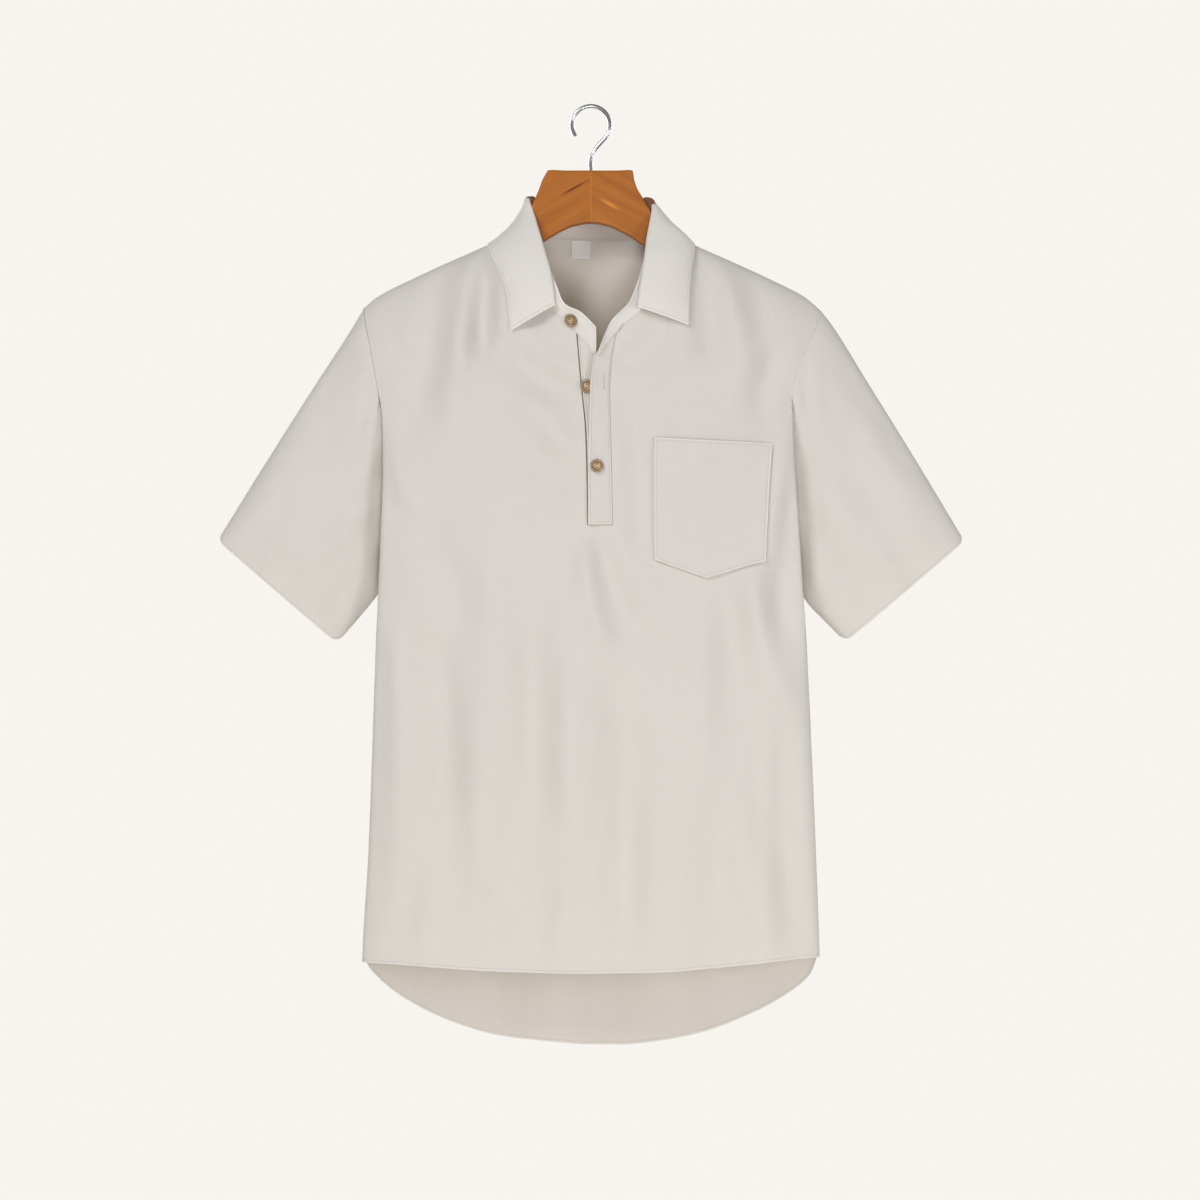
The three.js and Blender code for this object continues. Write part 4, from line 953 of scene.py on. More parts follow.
@dataclass(frozen=True)
class Strip:
    """A strip of the half placket.

    left and right name its edges in the table, tops are its corners' heights, inset moves the left
    edge in, and lift gives how far its cloth stands out by share across and height.
    """

    name: str
    left: str
    right: str
    tops: tuple[float, float]
    inset: float
    lift: Callable[[Array, Array], Array]

    FOOT = PLACKET_FOOT + 0.45
    WALL = 0.9
    WIDTH = 25.0  # about, for its rounded edges
    EDGE_DROP = 0.5
    EDGE_ROUND = 1.6

    def grid(self, body: Body, rows: int = 90, cells: int = 20) -> Array:
        """Points of the strip, from the neck to its foot.

        Args:
            body: Form that it lies on.
            rows: Cells down.
            cells: Cells across.

        Returns:
            The strip's grid.
        """
        across = (0.5 - 0.5 * np.cos(np.linspace(0, math.pi, cells + 1)))[None]
        down = np.linspace(0, 1, rows + 1)[:, None]
        z = mix(mix(self.tops[0], self.tops[1], across), self.FOOT, down)
        x = mix(PLACKET.read(self.left, z) + self.inset, PLACKET.read(self.right, z), across)
        points = body.at(Face.FRONT, x, z)
        beside = np.minimum(across, 1 - across) * self.WIDTH
        points[..., 1] -= self.lift(across, z) - self.EDGE_DROP * (1 - smooth(beside / self.EDGE_ROUND))
        return points

    def build(self, body: Body, finish: Material) -> Object:
        """Makes the strip."""
        item = shell(f"cloth_{self.name}", self.grid(body), self.WALL, finish, edges="LRB")
        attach(item, "root")
        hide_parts(self.name)
        return item


UNDER_STRIP = Strip(
    "placket_under", "slit_left", "under_right", (-227.4, -254), 1.3,
    lambda across, z: -1.4 * across,
)
OVER_STRIP = Strip(
    "placket_over", "over_left", "over_right", (-250.6, -227.4), 0,
    lambda across, z: PLACKET.read("lift", z) * (1 - across) ** 1.3,
)


@dataclass(frozen=True)
class Pocket:
    """Five-sided chest pocket with a turned top hem."""

    left: float = 63.3
    right: float = 179.5
    top_left: float = -331.5
    top_right: float = -337.5
    foot_left: float = -452.5
    foot_right: float = -453.5
    narrow: float = 7.4
    point_share: float = 0.46
    point_drop: float = 17.2
    wall: float = 0.9
    stand: float = 1.5  # from the front's cloth to the middle of the pocket's
    top_hem: float = 22.0
    hem_rise: float = 0.3
    width: float = 116.0  # about, for its turned edges
    height: float = 120.0
    edge_width: float = 7.0
    edge_rise: float = 0.35
    foot_rise: float = 0.3
    gape: float = 0.9  # of the free top edge, in its middle
    gape_depth: float = 0.16  # share of the height over which it closes

    def place(self, share: Array, down: Array) -> tuple[Array, Array]:
        """Front view place at a share across and down."""
        point = self.point_share
        beside = np.where(share <= point, share / point, (1 - share) / (1 - point))
        foot = mix(self.foot_left, self.foot_right, share) - self.point_drop * beside
        x = mix(self.left, self.right - self.narrow * down, share)
        return x, mix(mix(self.top_left, self.top_right, share), foot, down)

    def shares(self, cells: int) -> Array:
        """Shares of the columns, with one on the pocket's point."""
        half = cells // 2
        return np.concatenate([
            np.linspace(0, self.point_share, half + 1), np.linspace(self.point_share, 1, cells - half + 1)[1:]])

    def grid(self, body: Body, cells: int = 72, rows: int = 72) -> Array:
        """Points of the pocket, whose free top edge gapes a little."""
        share, down = np.meshgrid(self.shares(cells), np.linspace(0, 1, rows + 1))
        x, z = self.place(share, down)
        gape = self.gape * np.sin(math.pi * share) * smooth((self.gape_depth - down) / self.gape_depth)
        hem = self.hem_rise * smooth((self.top_hem + 0.8 - down * self.height) / 1.6)
        edge = self.edge_rise * smooth(1 - np.minimum(share, 1 - share) * self.width / self.edge_width)
        edge = edge + self.foot_rise * smooth((down - 0.93) / 0.05)
        return body.at(Face.FRONT, x, z) + body.normal(x, z) * (self.stand + gape + hem + edge)[..., None]

    def build(self, body: Body, finish: Material) -> Object:
        """Makes the pocket."""
        item = shell("cloth_pocket", self.grid(body), self.wall, finish)
        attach(item, "root")
        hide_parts("pocket")
        return item


# Collar

# Band round the neck, from the photo's left end over the back to the right end.
BAND = Table(
    "at seam_x seam_z seam_out top_x top_y top_z",
    *((at, *row) for at, row in enumerate((
        (5.1, -248.6, 1.6, 5.1, -54, -222.6),
        (-14.4, -225.6, 0.4, -9.8, -53, -207.7),
        (-33.8, -207.8, 0, -25.5, -50, -199.5),
        (-45.2, -193.4, 0, -33.5, -45.5, -182),
        (-57.2, -175, 0, -39.5, -40, -166),
        (-67, -155.4, 0, -46, -32, -148),
        (-74, -139.4, 0, -53, -21, -126),
        (-77.3, -124, 0, -63.5, 0, -95.5),
        (-66, -125.7, 0, -56, 21, -92),
        (-36, -127.5, 0, -31, 33, -90.5),
        (0, -128.1, 0, 0, 37, -90),
        (36, -127.5, 0, 31, 33, -91.5),
        (66, -125.7, 0, 56, 21, -94.5),
        (77.3, -124, 0, 62.5, -1, -101),
        (75.6, -142.4, 0, 56.5, -19, -129),
        (69.2, -163.8, 0, 52.5, -30, -153),
        (59.2, -186.4, 0, 46, -38, -177),
        (47.9, -204.9, 0, 37, -43, -198.5),
        (37.4, -214.2, 0.2, 28.8, -46, -207),
        (25.4, -225.6, 1.2, 20, -50, -216.5),
        (6.6, -248.8, 5.4, 12.6, -56, -232.5),
    ))),
)

# Falling part: its upper roll, its outer edge, how far that stands off, and its arch.
LEAF = Table(
    "at fold_x fold_y fold_z edge_x edge_z edge_lift crown",
    *((at, *row) for at, row in enumerate((
        (-37.6, -53.5, -202, -78.5, -225.5, 2.4, 1),
        (-39, -51, -188, -81, -208, 3, 3),
        (-41.5, -46.5, -170, -83.5, -186, 3, 4),
        (-46.5, -38, -150, -89.5, -168, 3, 6),
        (-53, -27, -129, -96.5, -154, 3, 5),
        (-60, -13, -108, -101, -143, 3, 1.5),
        (-66, 2, -91.5, -102.5, -136, 0, -6),
        (-58.5, 24.5, -89, -90, -141, 3, 2),
        (-33, 36.5, -87.5, -48, -144, 4, 6),
        (0, 40.5, -87, 0, -145, 5, 6),
        (33, 36.5, -88.5, 48, -144, 4, 6),
        (58.5, 24.5, -91, 90, -141, 3, 2),
        (65, 1, -97, 102.5, -136, 0, -0.8),
        (61.8, -14, -114, 103, -142, 3, 7.8),
        (58, -26, -132, 101.5, -152, 3, 7.5),
        (55.5, -37, -151, 99, -166, 3, 6),
        (52.5, -46, -172, 97.2, -184, 3, 4),
        (50, -51, -189, 96.4, -204, 3, 3),
        (48.6, -53.5, -203.5, 96.2, -220, 2.4, 1),
    ))),
)


class Band:
    """Collar stand: the band round the neck, open at the front."""

    WALL = 1.0
    BULGE = 1.6
    LAP = 0.1  # share of its height by which it laps over the panels
    LAP_OUT = 1.0

    def __init__(self, body: Body) -> None:
        """Lays the seam line on the panels and the upper edge above it.

        Args:
            body: Form whose neck it follows.
        """
        seam = []
        for row in BAND.rows:
            x, z = row["seam_x"], row["seam_z"]
            on_back = z > -129 and abs(x) < 70
            face = Face.BACK if on_back else Face.FRONT
            high = z if on_back else min(z, float(top_line(Face.FRONT, np.array(x))))
            y = float(body.at(face, x, high, fine=False)[1]) - row["seam_out"]
            seam.append((x, y, z))
        self.seam = Curve(seam)
        self.top = Curve([(row["top_x"], row["top_y"], row["top_z"]) for row in BAND.rows])

    def grid(self, cells: int = 260, rows: int = 20) -> Array:
        """Points of the band, rows from its lap over the panels up to its upper edge."""
        part = np.linspace(0, 1, cells + 1)
        up = np.linspace(-self.LAP, 1, rows + 1)[:, None, None]
        points = mix(self.seam.at(part)[None], self.top.at(part)[None], up)
        outward = unit(points * (1, 1, 0))
        lap = self.LAP_OUT * smooth((0.3 - up) / 0.3) * smooth((up + self.LAP + 0.02) / 0.14)
        return points + outward * (self.BULGE * 4 * np.maximum(up, 0) * (1 - up) + lap)

    def build(self, finish: Material) -> Object:
        """Makes the band."""
        item = shell("cloth_collar_stand", self.grid(), self.WALL, finish, edges="LRB")
        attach(item, "root")
        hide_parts("collar_stand")
        return item


class Leaf:
    """Falling part of the collar, rolled over the band's upper edge."""

    WALL = 1.3
    ROLL = 2.4  # radius of the upper roll
    ROLL_ROWS = 7

    def __init__(self, body: Body) -> None:
        """Lays the upper roll and the outer edge.

        Args:
            body: Form that its outer edge lies on.
        """
        edge = []
        for at, row in enumerate(LEAF.rows):
            face = Face.BACK if 6 < at < 12 else Face.FRONT
            point = body.at(face, row["edge_x"], row["edge_z"], fine=False)
            point[1] += face.value * row["edge_lift"]
            if row["edge_lift"] == 0:
                point[1] = 2
            edge.append(point)
        self.fold = Curve([(row["fold_x"], row["fold_y"], row["fold_z"]) for row in LEAF.rows])
        self.edge = Curve(edge)
        self.crown = Curve([(row["crown"], at, 0) for at, row in enumerate(LEAF.rows)])

    def grid(self, cells: int = 280, rows: int = 34) -> Array:
        """Points of the leaf, rows from inside the roll to the outer edge.

        Args:
            cells: Cells along the collar.
            rows: Cells from the fold to the outer edge.

        Returns:
            The leaf's grid.
        """
        part = np.linspace(0, 1, cells + 1)
        fold, edge = self.fold.at(part), self.edge.at(part)
        crown = self.crown.at(part)[:, :1]
        out = np.linspace(0, 1, rows + 1)[:, None, None]
        points = mix(fold[None], edge[None], out)
        outward = unit(np.stack([points[..., 0] * 0.6, points[..., 1], np.full(points.shape[:2], 8.0)], axis=2))
        points = points + outward * crown[None] * 4 * out * (1 - out)
        # The roll turns from the leaf's own direction back down inside the neck.
        ahead = unit(points[2] - points[0])
        inside = unit(fold * (-1, -1, 0) + (0, -6, 0))
        turn = np.linspace(1, 0, self.ROLL_ROWS + 1)[:-1][:, None, None] * math.radians(150)
        up = unit(np.cross(np.cross(ahead, inside), ahead))
        roll = fold[None] - ahead[None] * np.sin(turn) * self.ROLL + up[None] * (1 - np.cos(turn)) * self.ROLL
        return np.concatenate([roll, points])

    def build(self, finish: Material) -> Object:
        """Makes the leaf."""
        item = shell("cloth_collar_leaf", self.grid(), self.WALL, finish, edges="LRB")
        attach(item, "root")
        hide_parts("collar_leaf")
        return item


@dataclass(frozen=True)
class Label:
    """Small plain loop of white tape inside the back neck."""

    left: float = -19.4
    right: float = -1.2
    top: float = -130.6
    foot: float = -148.0
    wall: float = 0.5
    stand: float = 1.5
    away: float = 0.8  # how much further its foot stands off
    curl: float = 0.25
    cells: int = 24

    def build(self, body: Body, finish: Material) -> Object:
        """Makes the label, which hangs a little away at its foot.

        Args:
            body: Form whose inside it hangs on.
            finish: Material of the tape.

        Returns:
            The label.
        """
        across = np.linspace(self.left, self.right, self.cells + 1)
        x, z = np.meshgrid(across, np.linspace(self.top, self.foot, self.cells + 1))
        points = body.at(Face.BACK, x, z)
        down = (self.top - z) / (self.top - self.foot)
        points[..., 1] -= self.stand + self.away * down + self.curl * np.sin(5 * x / 18)
        item = shell("tape_neck_label", points, self.wall, finish)
        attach(item, "root")
        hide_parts("neck_label")
        return item


# Buttons, hanger and hook


def on_grid(grid: Array, x: float, z: float) -> tuple[Array, Array]:
    """Point of a fine grid at a place in the front view, and the direction out of it.

    Args:
        grid: Rows by columns of points.
        x: Place across.
        z: Height.

    Returns:
        The point and the unit normal, which looks towards -Y.
    """
    way = grid_normals(grid)
    front = np.where(way[..., 1] > 0, -1, 1)[..., None] * way
    near = np.hypot(grid[..., 0] - x, grid[..., 2] - z) + np.where(grid[..., 1] > 0, 1000, 0)
    row, column = np.unravel_index(np.argmin(near), near.shape)
    point, normal = grid[row, column], front[row, column]
    y = point[1] - (normal[0] * (x - point[0]) + normal[2] * (z - point[2])) / normal[1]
    return np.array([x, y, z]), normal


def ring_faces(rings: int, sides: int, first: int = 0) -> list[list[int]]:
    """Faces between the rings of a round body whose points follow one another from the first."""
    return [[low + s, low + (s + 1) % sides, low + sides + (s + 1) % sides, low + sides + s]
            for low in range(first, first + (rings - 1) * sides, sides) for s in range(sides)]


def lathe(profile: Sequence[tuple[float, float]], sides: int) -> tuple[Array, list[list[int]]]:
    """A closed turned body whose first and last points lie on its axis, +Z.

    Args:
        profile: Radius and height of each point.
        sides: How many sides the rings have.

    Returns:
        Its points and faces.
    """
    angle = np.linspace(0, 2 * math.pi, sides, endpoint=False)
    points = [(0.0, 0.0, profile[0][1])]
    for radius, height in profile[1:-1]:
        points += [(radius * math.cos(turn), radius * math.sin(turn), height) for turn in angle]
    points.append((0.0, 0.0, profile[-1][1]))
    rings = len(profile) - 2
    faces = [[0, 1 + (side + 1) % sides, 1 + side] for side in range(sides)] + ring_faces(rings, sides, 1)
    last = 1 + (rings - 1) * sides
    faces += [[last + side, last + (side + 1) % sides, len(points) - 1] for side in range(sides)]
    return np.array(points), faces


@dataclass(frozen=True)
class Button:
    """A two-hole button with a raised rim, sewn on with a bar of thread.

    x and z place it in the front view and turn is from upright to the line through its holes.
    """

    name: str
    x: float
    z: float
    turn: float
    wall: float
    radius: float = 6.5
    height: float = 2.4
    rim: float = 0.85
    hole_radius: float = 0.95
    hole_narrow: float = 0.4  # at the back
    hole_offset: float = 1.7
    stand: float = 0.4
    sides: int = 56

    def profile(self) -> list[tuple[float, float]]:
        """Radius and height from the back's middle round the rim to the face's middle."""
        r, h = self.radius, self.height
        quarter = math.pi / 2
        rim = [(r - 0.35 + 0.35 * math.cos(a), h - 0.55 + 0.55 * math.sin(a)) for a in np.linspace(0, quarter, 6)]
        dish = [(r - 2.3 + 1.3 * math.cos(a), h - self.rim * (1 - math.cos(a)))
                for a in np.linspace(0, quarter, 7)]
        middle = [(1.0, h - self.rim), (0, h - self.rim)]
        return [(0, 0), (r - 1.6, 0), (r - 0.6, 0.3), (r - 0.05, 0.95), *rim, *dish, *middle]

    def frame(self, carrier: Array) -> Matrix:
        """Place and turn of the button on the cloth that carries it."""
        point, normal = on_grid(carrier, self.x, self.z)
        seat = point + normal * (self.wall / 2 + self.stand)
        holes = np.array((math.sin(self.turn), 0.0, math.cos(self.turn)))
        holes = unit(holes - normal * (holes @ normal))
        axes = np.stack([np.cross(holes, normal), holes, normal], axis=1)
        return Matrix.Translation(Vector(seat)) @ Matrix(axes.tolist()).to_4x4()

    def build(self, carrier: Array, finish: Material, thread: Material) -> Object:
        """Makes the button and its thread.

        Args:
            carrier: Grid of the cloth under it.
            finish: Material of the button.
            thread: Material of the thread.

        Returns:
            The button.
        """
        points, faces = lathe(self.profile(), self.sides)
        item = make_mesh(f"{self.name}_disc", points, faces, None, finish, crisp=60)
        top, narrow, wide = self.height - self.rim, self.hole_narrow, self.hole_radius
        side = lathe([(0, -3), (narrow, -3), (narrow, 0.6), (wide, top + 0.01), (wide, 6), (0, 6)], 20)
        pair = [(side[0] + (0, up * self.hole_offset, 0), side[1]) for up in (-1, 1)]
        cutter = make_mesh("holes", *merge(pair), None, finish)
        cut = item.modifiers.new("holes", "BOOLEAN")
        cut.operation, cut.solver, cut.object = "DIFFERENCE", "EXACT", cutter
        bake(item)
        bpy.data.meshes.remove(cutter.data)
        # The holes' narrow ends count as far out, so that they take the rim's dark colour as painted shade inside
        # the holes.
        spots = np.array([vertex.co for vertex in item.data.vertices]) / MM
        in_hole = np.hypot(spots[:, 0], np.abs(spots[:, 1]) - self.hole_offset) < wide + 0.05
        deep = in_hole & (spots[:, 2] < top - 0.1)
        radii_with_hole_shade = np.where(deep, 20.0, np.hypot(spots[:, 0], spots[:, 1])) * MM
        axis_distance_and_hole_shade = item.data.attributes.new("axis_distance_and_hole_shade", "FLOAT", "POINT")
        axis_distance_and_hole_shade.data.foreach_set("value", radii_with_hole_shade.astype(np.float32))
        place = Matrix.Scale(MM, 4) @ self.frame(carrier) @ Matrix.Scale(1 / MM, 4)
        item.data.transform(place)
        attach(item, "root")
        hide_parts(self.name)
        reach, bars = self.hole_offset - 0.45, []
        for x in (-0.36, 0.0, 0.36):
            path = [(x, -reach, -0.2), (x, -reach, top), (x, -reach + 0.5, top + 0.3), (x, reach - 0.5, top + 0.3),
                    (x, reach, top), (x, reach, -0.2)]
            bars.append(tube(path, 0.2, 8, 14))
        points, faces = merge(bars)
        sewn = make_mesh(f"thread_{self.name}", points, faces, None, thread, crisp=70)
        sewn.data.transform(place)
        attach(sewn, "root")
        return item


def bake(item: Object) -> None:
    """Replaces an object's mesh by what its modifiers make of it, and takes them off."""
    bpy.context.view_layer.update()
    graph = bpy.context.evaluated_depsgraph_get()
    mesh = bpy.data.meshes.new_from_object(
        item.evaluated_get(graph), preserve_all_data_layers=True, depsgraph=graph)
    old = item.data
    item.modifiers.clear()
    item.data = mesh
    bpy.data.meshes.remove(old)


def merge(parts: Sequence[tuple[Array, list[list[int]]]]) -> tuple[Array, list[list[int]]]:
    """Puts several bodies into one list of points and faces."""
    points, faces, first = [], [], 0
    for spots, sides in parts:
        points.append(spots)
        faces += [[corner + first for corner in side] for side in sides]
        first += len(spots)
    return np.concatenate(points), faces


def tube(path: Sequence[Sequence[float]], radius: float, sides: int, steps: int) -> tuple[Array, list[list[int]]]:
    """A round closed tube along a smooth path.

    Args:
        path: Points that the path passes.
        radius: The tube's radius.
        sides: Sides of its rings.
        steps: Rings along it.

    Returns:
        Its points and faces.
    """
    line = Curve(path).at(np.linspace(0, 1, steps + 1))
    run = unit(np.gradient(line, axis=0))
    side = unit(np.cross(run[0], (0.3, 0.9, 0.1)))
    points = []
    for spot, way in zip(line, run):
        side = unit(side - way * np.dot(side, way))
        other = np.cross(way, side)
        for turn in np.linspace(0, 2 * math.pi, sides, endpoint=False):
            points.append(spot + radius * (side * math.cos(turn) + other * math.sin(turn)))
    points += [line[0], line[-1]]
    faces = ring_faces(steps + 1, sides)
    start, end = len(points) - 2, len(points) - 1
    faces += [[start, (s + 1) % sides, s] for s in range(sides)]
    last = steps * sides
    faces += [[end, last + s, last + (s + 1) % sides] for s in range(sides)]
    return np.array(points), faces


@dataclass(frozen=True)
class Hanger:
    """Varnished wooden hanger: two arms that meet at a joint under the hook."""

    middle: float = 15.0  # thickness at the joint
    arm: float = 12.0  # thickness in the arms
    round_edge: float = 2.6
    ridge_reach: float = 60.0
    grain_lean: float = 28.0  # degrees by which the arms and their grain fall outwards
    grain_shift: float = 0.9  # metres across the grain from the joint to each arm's own
    tip_share: float = 0.02  # of the arm, over which its tip is rounded
    tip_thickness: float = 0.35  # share that is left at the very tip

    # Upper line of each arm from the joint outwards, and the lower line that both share.
    FLANKS = {
        Side.LEFT: ((0, -63), (24, -63), (43.4, -63.1), (44.8, -65.4), (48.6, -72), (52.4, -82), (56.6, -92),
                    (61.3, -102), (66, -113.5), (70, -124)),
        Side.RIGHT: ((0, -63), (24, -63), (41.4, -63.1), (42.3, -65.4), (43.6, -73), (47.2, -82.5), (53.6, -93),
                     (60.5, -105), (64.6, -114), (70, -125)),
    }
    ARM_TOP = ((78, -134.6), (103, -142.8), (144, -160.6), (184, -179), (204, -189.8), (213, -197.5))
    UNDER = ((0, -115.5), (7, -116), (15, -117.8), (18, -118.5), (22, -120), (26, -122), (31, -124.4), (36, -127.2),
             (43, -131.4), (50, -136.2), (60, -142.8), (84, -158.2), (128, -180), (174, -200), (196, -208),
             (209, -209.8))

    def arm_points(self, side: Side, stations: int = 150, face: int = 18, corner: int = 5) -> tuple[Array, Array]:
        """Rings of one arm, and each point's run along and across the grain in metres.

        Args:
            side: Which arm.
            stations: Rings along the arm.
            face: Steps across its front and back.
            corner: Steps round each edge.

        Returns:
            The rings' points and their flat coordinates.
        """
        part = np.linspace(0, 1, stations + 1)
        top = Curve([(x, 0, z) for x, z in self.FLANKS[side] + self.ARM_TOP]).at(part)
        under = Curve([(x, 0, z) for x, z in self.UNDER]).at(part)
        length = np.linalg.norm(under - top, axis=1)[:, None]
        x = np.abs(top[:, :1] + under[:, :1]) / 2
        half = mix(self.middle, self.arm, np.minimum(1, x / self.ridge_reach)) / 2
        r = self.round_edge
        turn = np.linspace(0, math.pi / 2, corner + 1)
        across, out = [], []
        across += [r * (1 - np.sin(a)) + 0 * length for a in turn[::-1]]
        out += [half - r * (1 - np.cos(a)) for a in turn[::-1]]
        across += [r + (length - 2 * r) * s for s in np.linspace(0, 1, face + 1)[1:-1]]
        out += [half] * (face - 1)
        across += [length - r * (1 - np.sin(a)) for a in turn]
        out += [half - r * (1 - np.cos(a)) for a in turn]
        across, out = np.concatenate(across, axis=1), np.concatenate(out, axis=1)
        across = np.concatenate([across, across[:, ::-1]], axis=1)
        out = np.concatenate([-out, out[:, ::-1]], axis=1)
        points = top[:, None] + (under - top)[:, None] * (across / length)[..., None]
        points[..., 1] = out
        # The tip is rounded, also in its thickness.
        close = np.sqrt(np.clip((1 - part) / self.tip_share, 0, 1))[:, None]
        points[..., 1] *= mix(self.tip_thickness, 1, close)
        lean = math.radians(self.grain_lean)
        along = points[..., 0] * math.cos(lean) - points[..., 2] * math.sin(lean)
        beside = points[..., 0] * math.sin(lean) + points[..., 2] * math.cos(lean) + points[..., 1]
        flat = np.stack([along, beside], axis=2) * MM
        return points, flat

    def build(self, finish: Material) -> Object:
        """Makes both arms as one piece.

        Args:
            finish: Material of the wood.

        Returns:
            The hanger.
        """
        bodies, first, all_faces, all_uv = [], 0, [], []
        for side in Side:
            sign = side.value
            points, flat = self.arm_points(side)
            points[..., 0] = sign * np.maximum(points[..., 0], 0.01)
            flat = flat + (0, self.grain_shift * sign)
            rows, columns = points.shape[:2]
            for row in range(rows - 1):
                for column in range(columns):
                    after = (column + 1) % columns
                    corners = [(row, column), (row, after), (row + 1, after), (row + 1, column)]
                    corners = corners if sign < 0 else corners[::-1]
                    all_faces.append([first + r * columns + c for r, c in corners])
                    all_uv += [flat[r, c] for r, c in corners]
            for row, way in ((0, 1), (rows - 1, -1)):
                ring = [(row, column) for column in range(columns)][:: way * -sign]
                all_faces.append([first + r * columns + c for r, c in ring])
                all_uv += [flat[r, c] for r, c in ring]
            bodies.append(points.reshape(-1, 3))
            first += rows * columns
        item = make_mesh("wood_hanger", np.concatenate(bodies), all_faces, np.array(all_uv), finish, crisp=38)
        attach(item, "root")
        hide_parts("hanger")
        return item


@dataclass(frozen=True)
class Lobe:
    """Rounded end of the hanger's collar block, set back behind the neck's flank and painted dark as painted shade.
    """

    side: Side
    outline: tuple[tuple[float, float], ...]
    near: float = 0.5
    deep: float = 6.5

    def build(self, finish: Material) -> Object:
        """Makes the block's end.

        Args:
            finish: Material of the wood painted dark as painted shade.

        Returns:
            The lobe.
        """
        line = Curve([(x, 0, z) for x, z in self.outline]).at(np.linspace(0, 1, 41))
        middle = line.mean(axis=0)
        rings = [(0.9, self.near), (1.0, self.near + 0.9), (1.0, self.deep - 0.9), (0.9, self.deep)]
        points = np.concatenate([middle + (line - middle) * scale + (0, y, 0) for scale, y in rings])
        count = len(line)
        faces = ring_faces(len(rings), count)
        faces += [list(range(count))[::-1], [(len(rings) - 1) * count + s for s in range(count)]]
        if np.cross(line[1] - line[0], line[2] - line[1])[1] > 0:
            faces = [face[::-1] for face in faces]
        item = make_mesh(f"wood_lobe_{self.side.name.lower()}", points, faces, None, finish, crisp=50)
        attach(item, "root")
        return item


@dataclass(frozen=True)
class Hook:
    """Plain wire hook."""

    wire: float = 2.0
    inner: float = 17.0
    foot: float = -62.7
    shank: tuple[tuple[float, float], ...] = ((0, -52), (3, -43))  # x and height on the way to the bend
    bend: tuple[int, int, int] = (-35, 216, 25)  # degrees: first, beyond the last, and step

    def build(self, finish: Material) -> Object:
        """Makes the hook.

        Args:
            finish: Material of the wire.

        Returns:
            The hook.
        """
        radius = self.inner + self.wire
        path = [(0, 0, self.foot), *((x, 0, z) for x, z in self.shank)]
        for angle in map(math.radians, range(*self.bend)):
            path.append((radius * math.cos(angle), 0, radius * math.sin(angle) - self.inner))
        points, faces = tube(path, self.wire, 28, 180)
        item = make_mesh("wire_hook", points, faces, None, finish, crisp=60)
        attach(item, "root")
        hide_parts("hook")
        return item


LOBES = (
    Lobe(Side.LEFT, ((-66, -90.5), (-63, -88.6), (-57, -88.4), (-54.5, -92), (-56, -104), (-62, -110), (-66, -104),
                     (-67, -94), (-66, -90.5))),
    Lobe(Side.RIGHT, ((50.5, -90), (56, -89), (61.5, -90.4), (64.2, -94), (64.6, -101), (62, -108), (56, -104),
                      (50, -96), (50.5, -90))),
)

# Finishes


def add_node(tree: NodeTree, kind: str, inputs: dict | None = None, **settings: object) -> Node:
    """Adds a node with its settings, values and links.

    Args:
        tree: The node tree.
        kind: The node's type.
        inputs: Value or socket for each named or numbered input.
        settings: Properties of the node.

    Returns:
        The node.
    """
    node = tree.nodes.new(kind)
    for name, value in settings.items():
        setattr(node, name, value)
    for name, value in (inputs or {}).items():
        if isinstance(value, NodeSocket):
            tree.links.new(value, node.inputs[name])
        else:
            node.inputs[name].default_value = value
    return node


